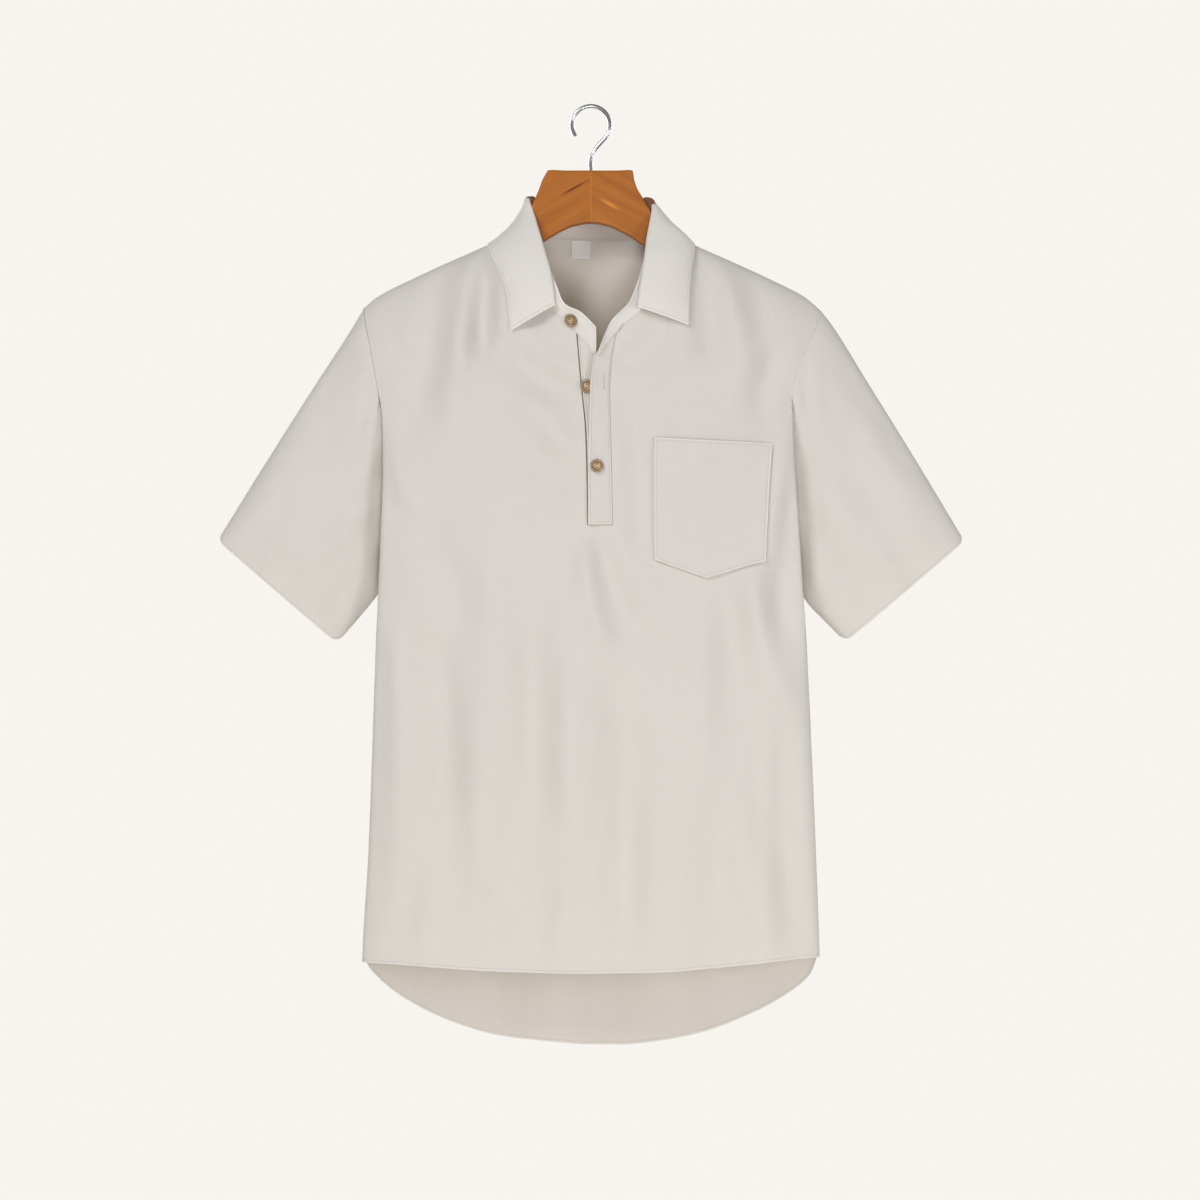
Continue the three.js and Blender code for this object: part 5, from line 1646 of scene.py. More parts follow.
class Finish:
    """A procedural material, made once from its principled values."""

    def __init__(self, name: str, **values: object) -> None:
        """Starts a material.

        Args:
            name: The material's name.
            values: Principled inputs, with _ for a space.
        """
        self.material = bpy.data.materials.new(name)
        self.material.use_nodes = True
        self.tree = self.material.node_tree
        self.tree.nodes.clear()
        inputs = {key.replace("_", " "): value for key, value in values.items()}
        self.shader = self.add("ShaderNodeBsdfPrincipled", inputs)
        self.output = self.add("ShaderNodeOutputMaterial", {"Surface": self.shader.outputs[0]})

    def add(self, kind: str, inputs: dict | None = None, **settings: object) -> Node:
        """Adds a node to the material."""
        return add_node(self.tree, kind, inputs, **settings)

    def math(self, kind: str, *values: object) -> NodeSocket:
        """Result of a sum on values or sockets."""
        return self.add("ShaderNodeMath", dict(enumerate(values)), operation=kind).outputs[0]

    def scaled(self, source: str, scale: tuple[float, float, float]) -> NodeSocket:
        """Coordinates stretched by a scale."""
        place = self.add("ShaderNodeTexCoord")
        return self.add("ShaderNodeMapping", {"Vector": place.outputs[source], "Scale": scale}).outputs[0]

    def noise(self, place: NodeSocket, scale: float, detail: float = 3.0) -> NodeSocket:
        """Soft noise from 0 to 1."""
        return self.add("ShaderNodeTexNoise", {"Vector": place, "Scale": scale, "Detail": detail}).outputs["Fac"]

    def ramp(self, value: NodeSocket, start: float, end: float) -> NodeSocket:
        """Rises from 0 at start to 1 at end."""
        return self.add("ShaderNodeMapRange", {"Value": value, "From Min": start, "From Max": end}).outputs[0]

    def spot(self, centre: tuple[float, float], size: tuple[float, float], source: str = "UV") -> NodeSocket:
        """A soft oval in the first two coordinates: 1 in its middle, 0 outside it.

        Args:
            centre: Its middle.
            size: Its half width and half height.
            source: Which coordinates.

        Returns:
            The oval's strength.
        """
        flat = self.add("ShaderNodeTexCoord").outputs[source]
        place = (-centre[0] / size[0], -centre[1] / size[1], 0)
        scale = (1 / size[0], 1 / size[1], 0)
        held = self.add("ShaderNodeMapping", {"Vector": flat, "Location": place, "Scale": scale})
        far = self.add("ShaderNodeVectorMath", {0: held.outputs[0]}, operation="LENGTH").outputs["Value"]
        return self.math("SUBTRACT", 1.0, self.ramp(far, 0.35, 1.0))

    def let_through(self, colour: str, share: float) -> None:
        """Lets a share of the light through, as thin cloth does."""
        passed = self.add("ShaderNodeBsdfTranslucent", {"Color": linear(colour)})
        both = self.add("ShaderNodeMixShader", {0: share, 1: self.shader.outputs[0], 2: passed.outputs[0]})
        self.tree.links.new(both.outputs[0], self.output.inputs["Surface"])

    def tint(self, factor: NodeSocket, start: str, end: str, beyond: bool = False) -> None:
        """Colours the material between two sRGB colours, or past them where beyond is set."""
        blend = self.add("ShaderNodeMix", {"Factor": factor}, data_type="RGBA", clamp_factor=not beyond)
        for name, value in (("A_Color", linear(start)), ("B_Color", linear(end))):
            socket = next(item for item in blend.inputs if item.identifier == name)
            socket.default_value = value
        result = next(item for item in blend.outputs if item.identifier == "Result_Color")
        self.tree.links.new(result, self.shader.inputs["Base Color"])

    def bump(self, *layers: tuple[NodeSocket, float]) -> None:
        """Relief from heights, each with the distance in metres that its 0 to 1 stands for."""
        normal = None
        for height, distance in layers:
            inputs = {"Height": height, "Distance": distance, "Strength": 1.0}
            if normal is not None:
                inputs["Normal"] = normal
            normal = self.add("ShaderNodeBump", inputs).outputs[0]
        self.tree.links.new(normal, self.shader.inputs["Normal"])


def woven_cloth(name: str, light: str, dark: str, through: str, share: float = 0.2,
                thread: float = 0.00045) -> Material:
    """Plain-woven washed cotton: matt, with uneven threads and slight crinkles.

    Args:
        name: The material's name.
        light: Its sRGB colour where the threads are thin, and along finished edges as a painted highlight.
        dark: And where they are thick.
        through: Colour of the light that comes through it.
        share: How much of the light comes through.
        thread: Distance between threads in metres.

    Returns:
        The material.
    """
    made = Finish(name, Roughness=0.92, IOR=1.46, Sheen_Weight=0.12, Sheen_Roughness=0.5)
    made.let_through(through, share)
    flat = made.add("ShaderNodeTexCoord").outputs["UV"]
    wave = 2 * math.pi / (20 * 2 * thread)
    warp, weft = (
        made.add("ShaderNodeTexWave", {"Vector": flat, "Scale": wave, "Distortion": 0.4, "Detail": 1.0},
                 bands_direction=way).outputs["Fac"] for way in ("X", "Y"))
    weave = made.math("MAXIMUM", warp, made.math("SUBTRACT", 1.0, weft))
    slub_warp = made.noise(made.scaled("UV", (1800, 22, 1)), 1.0, 2.0)
    slub_weft = made.noise(made.scaled("UV", (20, 1500, 1)), 1.0, 2.0)
    slub = made.math("ADD", made.math("MULTIPLY", slub_warp, 0.5), made.math("MULTIPLY", slub_weft, 0.5))
    crinkle = made.noise(made.scaled("UV", (1.0, 0.62, 1)), 70.0, 4.0)
    soft = made.noise(made.scaled("UV", (1.0, 0.5, 1)), 19.0, 2.0)
    patch = made.math("MULTIPLY_ADD", slub, 0.7, made.math("MULTIPLY", soft, 0.3))
    # Finished edges are painted paler, as a painted highlight where the turned edges catch the light, and their
    # stitches pull a groove.
    away = made.add("ShaderNodeAttribute", attribute_name="edge").outputs["Fac"]
    rim = made.ramp(away, 0.0006, 0.0019)
    past_groove = made.ramp(away, 0.0026, 0.0031)
    groove = made.math("ADD", made.ramp(away, 0.0019, 0.0024), made.math("SUBTRACT", 1.0, past_groove))
    made.tint(made.math("MULTIPLY", patch, rim), light, dark)
    made.bump((soft, 0.0016), (crinkle, 0.00045), (slub, 0.00012), (weave, 0.00004), (groove, 0.00028))
    return made.material


def varnished_wood() -> Material:
    """Stained lotus wood under a satin varnish, with its grain along the arms, a dark streak and painted
    highlights.
    """
    made = Finish("varnished_wood", Roughness=0.42, IOR=1.5, Specular_IOR_Level=0.2,
                  Coat_Weight=0.08, Coat_Roughness=0.25)
    grain = made.noise(made.scaled("UV", (5.0, 120.0, 1.0)), 1.3, 4.0)
    fine = made.noise(made.scaled("UV", (26.0, 1300.0, 1.0)), 1.0, 3.0)
    mixed = made.math("MULTIPLY_ADD", grain, 0.7, made.math("MULTIPLY", fine, 0.3))
    # A dark streak on the left arm, and a painted reflection on the varnish of the right arm.
    dark_streak, painted_reflection = made.spot((0.053, -0.9705), (0.018, 0.0015)), made.spot((0.0623, 0.8163), (0.014, 0.0022))
    joint = made.spot((0.0, 0.0), (0.0007, 9.0), "Object")  # painted highlight along the ridge where the arms meet
    # pale gathers the painted reflection and the painted highlight on the ridge.
    pale = made.math("MULTIPLY_ADD", painted_reflection, 1.3, made.math("MULTIPLY", joint, 0.55))
    streak_and_highlights = made.math("SUBTRACT", made.math("MULTIPLY", dark_streak, 1.3), pale)
    made.tint(made.math("ADD", made.ramp(mixed, 0.26, 0.8), streak_and_highlights), "#BC722C", "#94541E", beyond=True)
    made.bump((fine, 0.00006))
    return made.material


def shaded_wood() -> Material:
    """Stained wood painted dark brown as painted shade, for the hanger's parts that sit in shade behind the collar.
    """
    made = Finish("wood_in_painted_shade", Roughness=0.6, IOR=1.5)
    made.tint(made.noise(made.scaled("Object", (1, 1, 6)), 260.0, 4.0), "#7A4A32", "#5A3423")
    made.bump((made.noise(made.scaled("Object", (1, 1, 1)), 900.0, 2.0), 0.00005))
    return made.material


def polished_button() -> Material:
    """Horn-like resin with soft streaks and a darker outer edge, with painted shade in a ring inside the rim and in
    the holes.
    """
    made = Finish("horn_resin", Roughness=0.34, IOR=1.54, Coat_Weight=0.25, Coat_Roughness=0.12)
    streak = made.noise(made.scaled("Object", (240.0, 240.0, 900.0)), 0.55, 4.0)
    far = made.add("ShaderNodeAttribute", attribute_name="axis_distance_and_hole_shade").outputs["Fac"]
    edge = made.ramp(far, 0.0058, 0.0064)
    # The dark ring at the dish's inner corner is painted shade, where the hollow would darken.
    aside = made.math("ABSOLUTE", made.math("SUBTRACT", far, 0.0043))
    ring = made.math("SUBTRACT", 1.0, made.ramp(aside, 0.0003, 0.0009))
    made.tint(made.math("MULTIPLY_ADD", streak, 0.6, made.math("MAXIMUM", edge, made.math("MULTIPLY", ring, 0.7))),
              "#C2A67E", "#6A4E33")
    made.bump((made.noise(made.scaled("Object", (1, 1, 1)), 900.0, 2.0), 0.00003))
    return made.material


def sewing_thread(name: str, light: str, dark: str) -> Material:
    """Twisted polyester thread between two sRGB colours."""
    made = Finish(name, Roughness=0.7, IOR=1.5, Sheen_Weight=0.1)
    twist = made.noise(made.scaled("Object", (1, 1, 1)), 2200.0, 1.0)
    made.tint(twist, light, dark)
    made.bump((twist, 0.00005))
    return made.material


def steel_wire() -> Material:
    """Chromed steel wire with fine drawn lines."""
    made = Finish("chromed_wire", Metallic=1.0, Roughness=0.22)
    drawn = made.noise(made.scaled("Object", (900, 900, 60)), 1.0, 2.0)
    made.tint(drawn, "#C9CCD0", "#B4B7BC")
    made.bump((drawn, 0.00001))
    return made.material


def floor_paper() -> Material:
    """Matt pale studio paper."""
    made = Finish("floor_paper", Roughness=0.95)
    made.tint(made.noise(made.scaled("Object", (1, 1, 1)), 40.0, 3.0), "#F3F0EA", "#EEEAE3")
    return made.material


# Sewing


@dataclass(frozen=True)
class Skin:
    """Outer skin of a cloth piece, where its stitches lie: grid is as its shell has it, out its distance."""

    grid: Array
    out: float
    ring: bool = False

    def at(self, rows: Array, columns: Array) -> tuple[Array, Array]:
        """Points and outward directions at rows and columns, which may lie between two.

        Args:
            rows: Rows of the grid, whole or not.
            columns: Columns in the same way.

        Returns:
            The points on the skin and the directions.
        """
        rows, columns = np.broadcast_arrays(np.asarray(rows, float), np.asarray(columns, float))
        way = grid_normals(self.grid, self.ring)
        count = self.grid.shape[1]
        top = np.clip(rows.astype(int), 0, self.grid.shape[0] - 2)
        left = columns.astype(int) % count if self.ring else np.clip(columns.astype(int), 0, count - 2)
        down = (rows - top)[:, None]
        across = (columns - np.floor(columns) if self.ring else columns - left)[:, None]
        after = (left + 1) % count
        found = []
        for held in (self.grid, way):
            upper = mix(held[top, left], held[top, after], across)
            found.append(mix(upper, mix(held[top + 1, left], held[top + 1, after], across), down))
        return found[0] + unit(found[1]) * self.out, unit(found[1])

    def over(self, x: Sequence[float], z: Sequence[float]) -> tuple[Array, Array]:
        """Points and outward directions at places in the front view.

        Args:
            x: Places across.
            z: Their heights.

        Returns:
            The points on the skin and the directions.
        """
        found = [on_grid(self.grid, across, up) for across, up in zip(x, z)]
        points, ways = (np.array(part) for part in zip(*found))
        return points + ways * self.out, ways

    def inside(self, inset: float, sides: str, start: float = 0.0) -> tuple[Array, Array]:
        """Rows and columns of a line that runs inside the edges.

        Args:
            inset: Its distance from them in millimetres.
            sides: Which edges it follows, of L, B and R for the left, the lower and the right one.
            start: Row at which it starts beside the left and right edges.

        Returns:
            The rows and the columns.
        """
        high, wide = self.grid.shape[0] - 1, self.grid.shape[1] - 1
        step_down = np.linalg.norm(self.grid[-1] - self.grid[-2], axis=-1)
        step_left = np.linalg.norm(self.grid[:, 1] - self.grid[:, 0], axis=-1)
        step_right = np.linalg.norm(self.grid[:, -1] - self.grid[:, -2], axis=-1)
        from_right = inset / step_right[-1] if "R" in sides else 0.0
        ends = (inset / step_left[-1] if "L" in sides else 0.0, wide - from_right)
        rows, columns = [], []
        if "L" in sides:
            rows.append(np.linspace(start, high - (inset / step_down[0] if "B" in sides else 0), 80))
            columns.append(inset / step_left[rows[-1].astype(int)])
        if "B" in sides:
            columns.append(np.linspace(*ends, 240))
            rows.append(high - inset / step_down[columns[-1].astype(int)])
        if "R" in sides:
            rows.append(np.linspace(high - (inset / step_down[-1] if "B" in sides else 0), start, 80))
            columns.append(wide - inset / step_right[rows[-1].astype(int)])
        return np.concatenate(rows), np.concatenate(columns)


@dataclass(frozen=True)
class Stitch:
    """Size of a stitch in millimetres. A crossing one lies across its line, as at a buttonhole."""

    pitch: float = 2.7
    length: float = 2.25
    width: float = 0.42
    crossing: bool = False


TOP_STITCH = Stitch()
SATIN_STITCH = Stitch(0.5, 1.5, 0.5, True)
BAR_STITCH = Stitch(0.42, 2.0, 0.46, True)
SLIT_STITCH = Stitch(0.5, 0.8, 0.56)


class Stitcher:
    """Lays stitches along lines on the cloth, with one tree of geometry nodes."""

    SEED = 5
    HALF_LENGTH = {"Min": 0.44, "Max": 0.52}  # of a stitch, as a share of its length
    SOCKETS = (("Pitch", "Float"), ("Length", "Float"), ("Width", "Float"), ("Turn", "Float"), ("Seed", "Int"),
               ("Thread", "Material"))

    def __init__(self, thread: Material) -> None:
        """Makes the tree for a thread's material.

        Args:
            thread: The material.
        """
        self.thread = thread
        self.tree = bpy.data.node_groups.new("stitches", "GeometryNodeTree")
        face = self.tree.interface
        face.new_socket("Geometry", in_out="INPUT", socket_type="NodeSocketGeometry")
        face.new_socket("Geometry", in_out="OUTPUT", socket_type="NodeSocketGeometry")
        self.named = {name: face.new_socket(name, in_out="INPUT", socket_type=f"NodeSocket{kind}").identifier
                      for name, kind in self.SOCKETS}
        self.fill_tree()

    def fill_tree(self) -> None:
        """Adds the nodes: points along the line, a thread turned to the cloth at each, then real mesh."""
        tree = self.tree
        given = add_node(tree, "NodeGroupInput").outputs
        line = add_node(tree, "GeometryNodeMeshToCurve", {"Mesh": given["Geometry"]})
        spaced = add_node(tree, "GeometryNodeResampleCurve", {"Curve": line.outputs[0], "Length": given["Pitch"]},
                          mode="LENGTH")
        tangent = add_node(tree, "GeometryNodeInputTangent")
        outward = add_node(tree, "GeometryNodeInputNamedAttribute", {"Name": "out"}, data_type="FLOAT_VECTOR")
        aimed = add_node(tree, "FunctionNodeAlignRotationToVector", {"Vector": tangent.outputs[0]}, axis="X")
        laid = add_node(tree, "FunctionNodeAlignRotationToVector",
                        {"Rotation": aimed.outputs[0], "Vector": outward.outputs[0]}, axis="Z", pivot_axis="X")
        angles = add_node(tree, "ShaderNodeCombineXYZ", {"Z": given["Turn"]})
        turn = add_node(tree, "FunctionNodeEulerToRotation", {"Euler": angles.outputs[0]})
        turned = add_node(tree, "FunctionNodeRotateRotation",
                          {"Rotation": laid.outputs[0], "Rotate By": turn.outputs[0]}, rotation_space="LOCAL")
        chance = add_node(tree, "FunctionNodeRandomValue", {"Seed": given["Seed"]}, data_type="FLOAT")
        for socket in chance.inputs:
            if socket.type == "VALUE" and socket.name in self.HALF_LENGTH:
                socket.default_value = self.HALF_LENGTH[socket.name]
        varied = next(socket for socket in chance.outputs if socket.type == "VALUE")
        lengths = add_node(tree, "ShaderNodeMath", {0: given["Length"], 1: varied}, operation="MULTIPLY")
        widths = add_node(tree, "ShaderNodeMath", {0: given["Width"], 1: 0.5}, operation="MULTIPLY")
        size = add_node(tree, "ShaderNodeCombineXYZ", {"X": lengths.outputs[0], "Y": widths.outputs[0],
                                                       "Z": widths.outputs[0]})
        ball = add_node(tree, "GeometryNodeMeshUVSphere", {"Segments": 8, "Rings": 5, "Radius": 1.0})
        even = add_node(tree, "GeometryNodeSetShadeSmooth", {"Geometry": ball.outputs[0]})
        placed = add_node(tree, "GeometryNodeInstanceOnPoints",
                          {"Points": spaced.outputs[0], "Instance": even.outputs[0], "Rotation": turned.outputs[0],
                           "Scale": size.outputs[0]})
        real = add_node(tree, "GeometryNodeRealizeInstances", {"Geometry": placed.outputs[0]})
        coloured = add_node(tree, "GeometryNodeSetMaterial",
                            {"Geometry": real.outputs[0], "Material": given["Thread"]})
        add_node(tree, "NodeGroupOutput", {"Geometry": coloured.outputs[0]})

    def sew(self, name: str, lines: Sequence[tuple[Array, Array]], stitch: Stitch = TOP_STITCH) -> Object:
        """Sews one or more lines.

        Args:
            name: The piece's name.
            lines: Points in millimetres and outward directions of each line.
            stitch: The stitch's size.

        Returns:
            The stitches, as one piece.
        """
        points = np.concatenate([line[0] for line in lines]) * MM
        edges, first = [], 0
        for line in lines:
            edges += [(first + at, first + at + 1) for at in range(len(line[0]) - 1)]
            first += len(line[0])
        mesh = bpy.data.meshes.new(name)
        mesh.from_pydata(points.tolist(), edges, [])
        outward = mesh.attributes.new("out", "FLOAT_VECTOR", "POINT")
        outward.data.foreach_set("vector", np.concatenate([line[1] for line in lines]).astype(np.float32).ravel())
        item = bpy.data.objects.new(name, mesh)
        bpy.context.scene.collection.objects.link(item)
        laid = item.modifiers.new("stitches", "NODES")
        laid.node_group = self.tree
        values = {"Pitch": stitch.pitch * MM, "Length": stitch.length * MM, "Width": stitch.width * MM,
                  "Turn": math.pi / 2 if stitch.crossing else 0.0, "Seed": self.SEED, "Thread": self.thread}
        for key, value in values.items():
            laid[self.named[key]] = value
        bake(item)
        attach(item, "root")
        return item


@dataclass(frozen=True)
class Sewing:
    """Every sewn line that shows, by the cloth that it lies on."""

    front: Skin
    back: Skin
    sleeves: tuple[Skin, Skin]
    over: Skin
    under: Skin
    pocket: Skin
    band: Skin
    leaf: Skin
    hem: float = 8.2  # from a hem's edge up to its stitches
    cuff: float = 9.0
    collar: float = 2.6
    strip: float = 1.7
    under_strip: float = 1.5
    hole_width: float = 1.5
    foot_rows: float = 6.0  # from the over placket's last row up to the line across its foot
    pocket_row: float = 12.6  # row of the pocket's grid on which its hem is sewn
    # In the front view: x and both heights of the pocket's bar tacks, and both ends of the slits in
    # the over placket and the band.
    tacks: tuple[tuple[float, float, float], ...] = ((64.6, -333.2, -339.0), (178.0, -338.8, -344.6))
    placket_slit: tuple[tuple[float, float], ...] = ((12.6, -269), (12.8, -284))
    band_slit: tuple[tuple[float, float], ...] = ((25.6, -228.5), (31.4, -219))

    def level(self, skin: Skin, inset: float) -> tuple[Array, Array]:
        """A line that runs at a distance above a skin's lower edge.

        Args:
            skin: The cloth's skin.
            inset: The distance in millimetres.

        Returns:
            The line's points and outward directions.
        """
        count = skin.grid.shape[1]
        columns = np.linspace(0, count if skin.ring else count - 1, 2 * count)
        steps = np.linalg.norm(skin.grid[-1] - skin.grid[-2], axis=-1)
        return skin.at(skin.grid.shape[0] - 1 - inset / steps[columns.astype(int) % count], columns)

    def slot(self, skin: Skin, start: tuple[float, float], end: tuple[float, float]) -> tuple[Array, Array]:
        """The line round a buttonhole, from one end of its slit to the other and back.

        Args:
            skin: The cloth's skin.
            start: One end of the slit, in the front view.
            end: The other end.

        Returns:
            The line's points and outward directions.
        """
        run = np.subtract(end, start)
        aside = np.array((-run[1], run[0])) / np.hypot(*run) * self.hole_width / 2
        turn = np.linspace(0, math.pi, 7)[:, None]
        ahead = run / np.hypot(*run) * self.hole_width / 2
        caps = [end + aside * np.cos(turn) + ahead * np.sin(turn),
                start - aside * np.cos(turn) - ahead * np.sin(turn)]
        path = np.concatenate([[np.add(start, aside)], caps[0], caps[1]])
        dense = np.concatenate([mix(a, b, np.linspace(0, 1, 6)[:-1, None]) for a, b in zip(path[:-1], path[1:])])
        return skin.over(dense[:, 0], dense[:, 1])

    def build(self, stitcher: Stitcher, shadow: Stitcher) -> dict[str, list[Object]]:
        """Sews everything with one thread, and lays dark stitches in the buttonholes' slits as painted shadow.

        Args:
            stitcher: Lays the seams' thread.
            shadow: Lays the dark stitches that stand for the slits' painted shadow.

        Returns:
            The pieces of sewing, by the node of the cloth that they lie on.
        """
        over, pocket, band = self.over, self.pocket, self.band
        rows, columns = over.grid.shape[:2]
        top = over.at(*over.inside(self.strip, "LBR"))
        foot = over.at(np.full(20, rows - self.foot_rows), np.linspace(1.2, columns - 2.2, 20))
        rim = pocket.at(*pocket.inside(self.strip, "LBR"))
        hem = pocket.at(np.full(40, self.pocket_row), np.linspace(1, pocket.grid.shape[1] - 2.0, 40))
        tacks = [pocket.over((x, x), ends) for x, *ends in self.tacks]
        opening, band_opening = (skin.over(*np.linspace(*slit, 10).T)
                                 for skin, slit in ((over, self.placket_slit), (band, self.band_slit)))
        work = (
            ("front", "stitches_hem_front", [self.level(self.front, self.hem)], TOP_STITCH),
            ("back", "stitches_hem_back", [self.level(self.back, self.hem)], TOP_STITCH),
            ("sleeve_left", "stitches_cuff_left", [self.level(self.sleeves[0], self.cuff)], TOP_STITCH),
            ("sleeve_right", "stitches_cuff_right", [self.level(self.sleeves[1], self.cuff)], TOP_STITCH),
            ("placket_over", "stitches_placket_over", [top, foot], TOP_STITCH),
            ("placket_over", "buttonhole_placket", [self.slot(over, *self.placket_slit)], SATIN_STITCH),
            # The dark stitches along each slit are painted shadow.
            ("placket_over", "slit_shadow_placket", [opening], SLIT_STITCH),
            ("placket_under", "stitches_placket_under",
             [self.under.at(*self.under.inside(self.under_strip, "L"))], TOP_STITCH),
            ("pocket", "stitches_pocket", [rim, hem], TOP_STITCH),
            ("pocket", "bar_tacks_pocket", tacks, BAR_STITCH),
            ("collar_stand", "buttonhole_band", [self.slot(band, *self.band_slit)], SATIN_STITCH),
            ("collar_stand", "slit_shadow_band", [band_opening], SLIT_STITCH),
            ("collar_leaf", "stitches_leaf", [self.leaf.at(*self.leaf.inside(self.collar, "LBR", 8))], TOP_STITCH),
        )
        sewn: dict[str, list[Object]] = {}
        for node, name, lines, stitch in work:
            hand = shadow if stitch is SLIT_STITCH else stitcher
            sewn.setdefault(node, []).append(hand.sew(name, lines, stitch))
        return sewn


# Studio


@dataclass(frozen=True)
class Lamp:
    """A soft square lamp that looks at the shirt."""

    name: str
    place: tuple[float, float, float]
    size: float
    power: float
    colour: str = "#FFFFFF"


@dataclass(frozen=True)
class Studio:
    """Floor, lamps, surroundings and camera."""

    # The photograph is 1200 pixels wide and shows a millimetre a pixel in the shirt's middle plane.
    camera_place: tuple[float, float, float] = (0.009, -4.0, -0.492)
    lens: float = 120.0
    sensor: float = 36.0
    aim_height: float = -0.49
    floor_height: float = -1.3
    floor_radius: float = 1.3
    around: str = "#F7F4EF"
    shine: float = 0.3  # of the surroundings, as light on the shirt
    lamps: tuple[Lamp, ...] = (
        Lamp("key", (-1.6, -2.2, 1.5), 1.1, 42.0),
        Lamp("fill", (1.8, -1.8, -0.5), 0.7, 13.5),
        Lamp("front", (0.25, -3.6, -0.7), 0.9, 15.5),
        Lamp("low", (0.1, -2.4, -1.22), 0.6, 13.0),
        Lamp("back_left", (-1.4, 2.2, 0.2), 1.4, 40.0),
        Lamp("back_right", (1.5, 1.9, 0.2), 1.4, 30.0),
    )

    def build(self) -> None:
        """Sets everything up."""
        self.build_floor()
        self.build_lamps()
        self.build_camera()
        world = bpy.context.scene.world or bpy.data.worlds.new("studio")
        bpy.context.scene.world = world
        world.use_nodes = True
        world.node_tree.nodes.clear()
        path = add_node(world.node_tree, "ShaderNodeLightPath")
        strength = add_node(world.node_tree, "ShaderNodeMapRange", {"Value": path.outputs["Is Camera Ray"],
                                                                    "To Min": self.shine, "To Max": 1.0})
        back = add_node(world.node_tree, "ShaderNodeBackground", {"Color": linear(self.around),
                                                                  "Strength": strength.outputs[0]})
        add_node(world.node_tree, "ShaderNodeOutputWorld", {"Surface": back.outputs[0]})
        bpy.context.scene.view_settings.view_transform = "Standard"

    def build_floor(self) -> None:
        """Makes the round floor."""
        radius, sides = self.floor_radius / MM, 96
        turn = np.linspace(0, 2 * math.pi, sides, endpoint=False)
        low, high = self.floor_height / MM - 10, self.floor_height / MM
        rings = [np.stack([radius * np.cos(turn), radius * np.sin(turn), np.full(sides, z)], 1)
                 for z in (low, high)]
        faces = ring_faces(2, sides)
        faces += [list(range(sides))[::-1], list(range(sides, 2 * sides))]
        make_mesh("floor", np.concatenate(rings), faces, None, floor_paper())

    def build_lamps(self) -> None:
        """Makes the lamps."""
        for lamp in self.lamps:
            data = bpy.data.lights.new(lamp.name, "AREA")
            data.shape, data.size, data.energy = "SQUARE", lamp.size, lamp.power
            data.color = linear(lamp.colour)[:3]
            item = bpy.data.objects.new(lamp.name, data)
            item.location = lamp.place
            aim = Vector((0, 0, self.aim_height)) - Vector(lamp.place)
            item.rotation_euler = aim.to_track_quat("-Z", "Y").to_euler()
            bpy.context.scene.collection.objects.link(item)

    def build_camera(self) -> None:
        """Makes the camera."""
        data = bpy.data.cameras.new("camera")
        data.lens, data.sensor_width = self.lens, self.sensor
        data.clip_start, data.clip_end = 0.05, 50.0
        item = bpy.data.objects.new("camera", data)
        item.location = self.camera_place
        item.rotation_euler = (math.radians(90), 0, 0)
        bpy.context.scene.collection.objects.link(item)
        bpy.context.scene.camera = item


@dataclass(frozen=True)
class Cut:
    """Flat cut of what shows of a cloth piece: its width, length and area in metres, and what holds it."""

    width: float
    length: float
    area: float
    rests_on: tuple[str, ...]


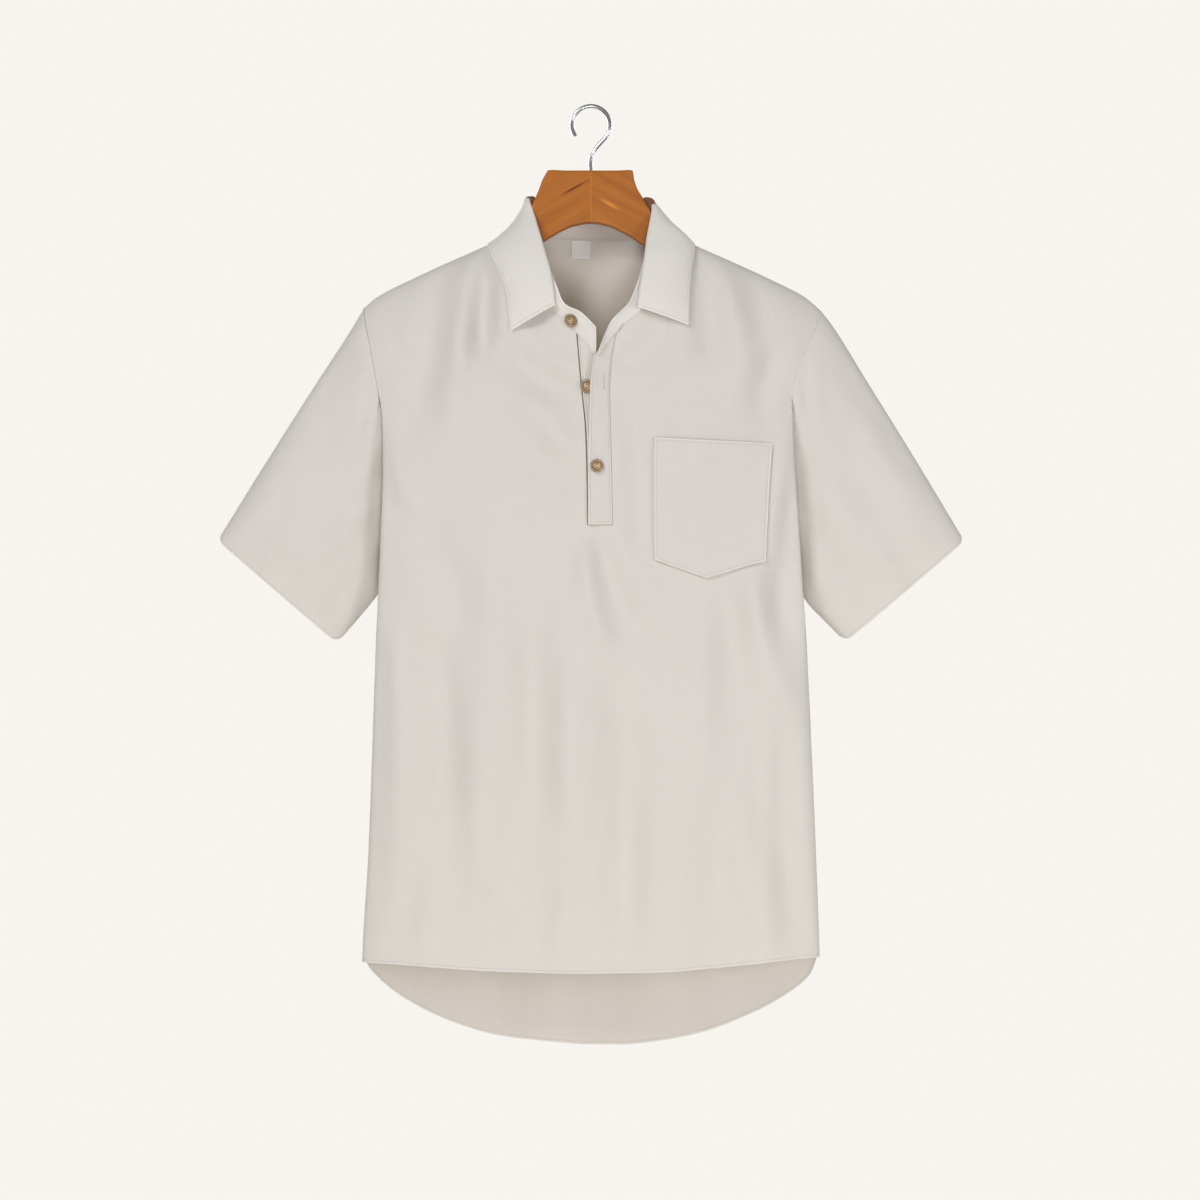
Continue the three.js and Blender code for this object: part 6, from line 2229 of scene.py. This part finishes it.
def main() -> None:
    """Builds the dressed shirt in order."""
    logging.basicConfig(level=logging.INFO, format="%(message)s")
    cloth = woven_cloth("washed_cotton", "#EBE8E4", "#DCD9D5", "#F3E3CC")
    fused = woven_cloth("fused_cotton", "#F1EEEA", "#E4E1DC", "#F3E3CC", 0.14)
    tape = woven_cloth("label_tape", "#FFFFFF", "#F6F4F1", "#F4F0E8", thread=0.0003)
    horn, thread = polished_button(), sewing_thread("button_thread", "#E6D9BD", "#CDBC98")
    body = Body()
    front, back = Panel(body, Face.FRONT), Panel(body, Face.BACK)
    left, right = (Sleeve(side, body, front, back) for side in Side)
    band, leaf, pocket = Band(body), Leaf(body), Pocket()
    sheets = {
        "front": front.build(cloth),
        "back": back.build(cloth),
        "sleeve_left": left.build(cloth),
        "sleeve_right": right.build(cloth),
        "placket_under": UNDER_STRIP.build(body, cloth),
        "placket_over": OVER_STRIP.build(body, cloth),
        "pocket": pocket.build(body, cloth),
        "collar_stand": band.build(fused),
        "collar_leaf": leaf.build(fused),
        "neck_label": Label().build(body, tape),
    }
    panel_out = SHELL_OUT + SHELL / 2
    sewing = Sewing(
        front=Skin(front.grid, panel_out), back=Skin(back.grid[:, ::-1], panel_out),
        sleeves=(Skin(left.grid, panel_out, True), Skin(right.grid[:, ::-1], panel_out, True)),
        over=Skin(OVER_STRIP.grid(body), OVER_STRIP.WALL / 2),
        under=Skin(UNDER_STRIP.grid(body), UNDER_STRIP.WALL / 2),
        pocket=Skin(pocket.grid(body), pocket.wall / 2), band=Skin(band.grid(), band.WALL / 2),
        leaf=Skin(leaf.grid(), leaf.WALL / 2),
    )
    # The second thread is dark: painted shadow in the buttonholes' slits.
    stitches = sewing.build(Stitcher(sewing_thread("cloth_thread", "#EAE7E2", "#D9D5CE")),
                            Stitcher(sewing_thread("buttonhole_shadow", "#9C9180", "#857A69")))
    pieces = [*sheets.values(), *(item for row in stitches.values() for item in row)]
    buttons = [
        Button("button_stand", -19, -215.5, 2.1, band.WALL).build(band.grid(), horn, thread),
        Button("button_middle", -3.8, -280.8, 0.15, UNDER_STRIP.WALL).build(UNDER_STRIP.grid(body), horn, thread),
        Button("button_lowest", 6, -359.8, 0, OVER_STRIP.WALL).build(OVER_STRIP.grid(body), horn, thread),
    ]
    woods = [Hanger().build(varnished_wood()), *(lobe.build(shaded_wood()) for lobe in LOBES)]
    hook = Hook().build(steel_wire())
    for slot, items in (("button", buttons), ("wood", woods), ("hook", [hook])):
        for item in items:
            pieces.append(item)
    for piece in pieces:
        log.info("%s: %d faces", piece.name, len(piece.data.polygons))
    Studio().build()


if __name__ == "__main__":
    main()
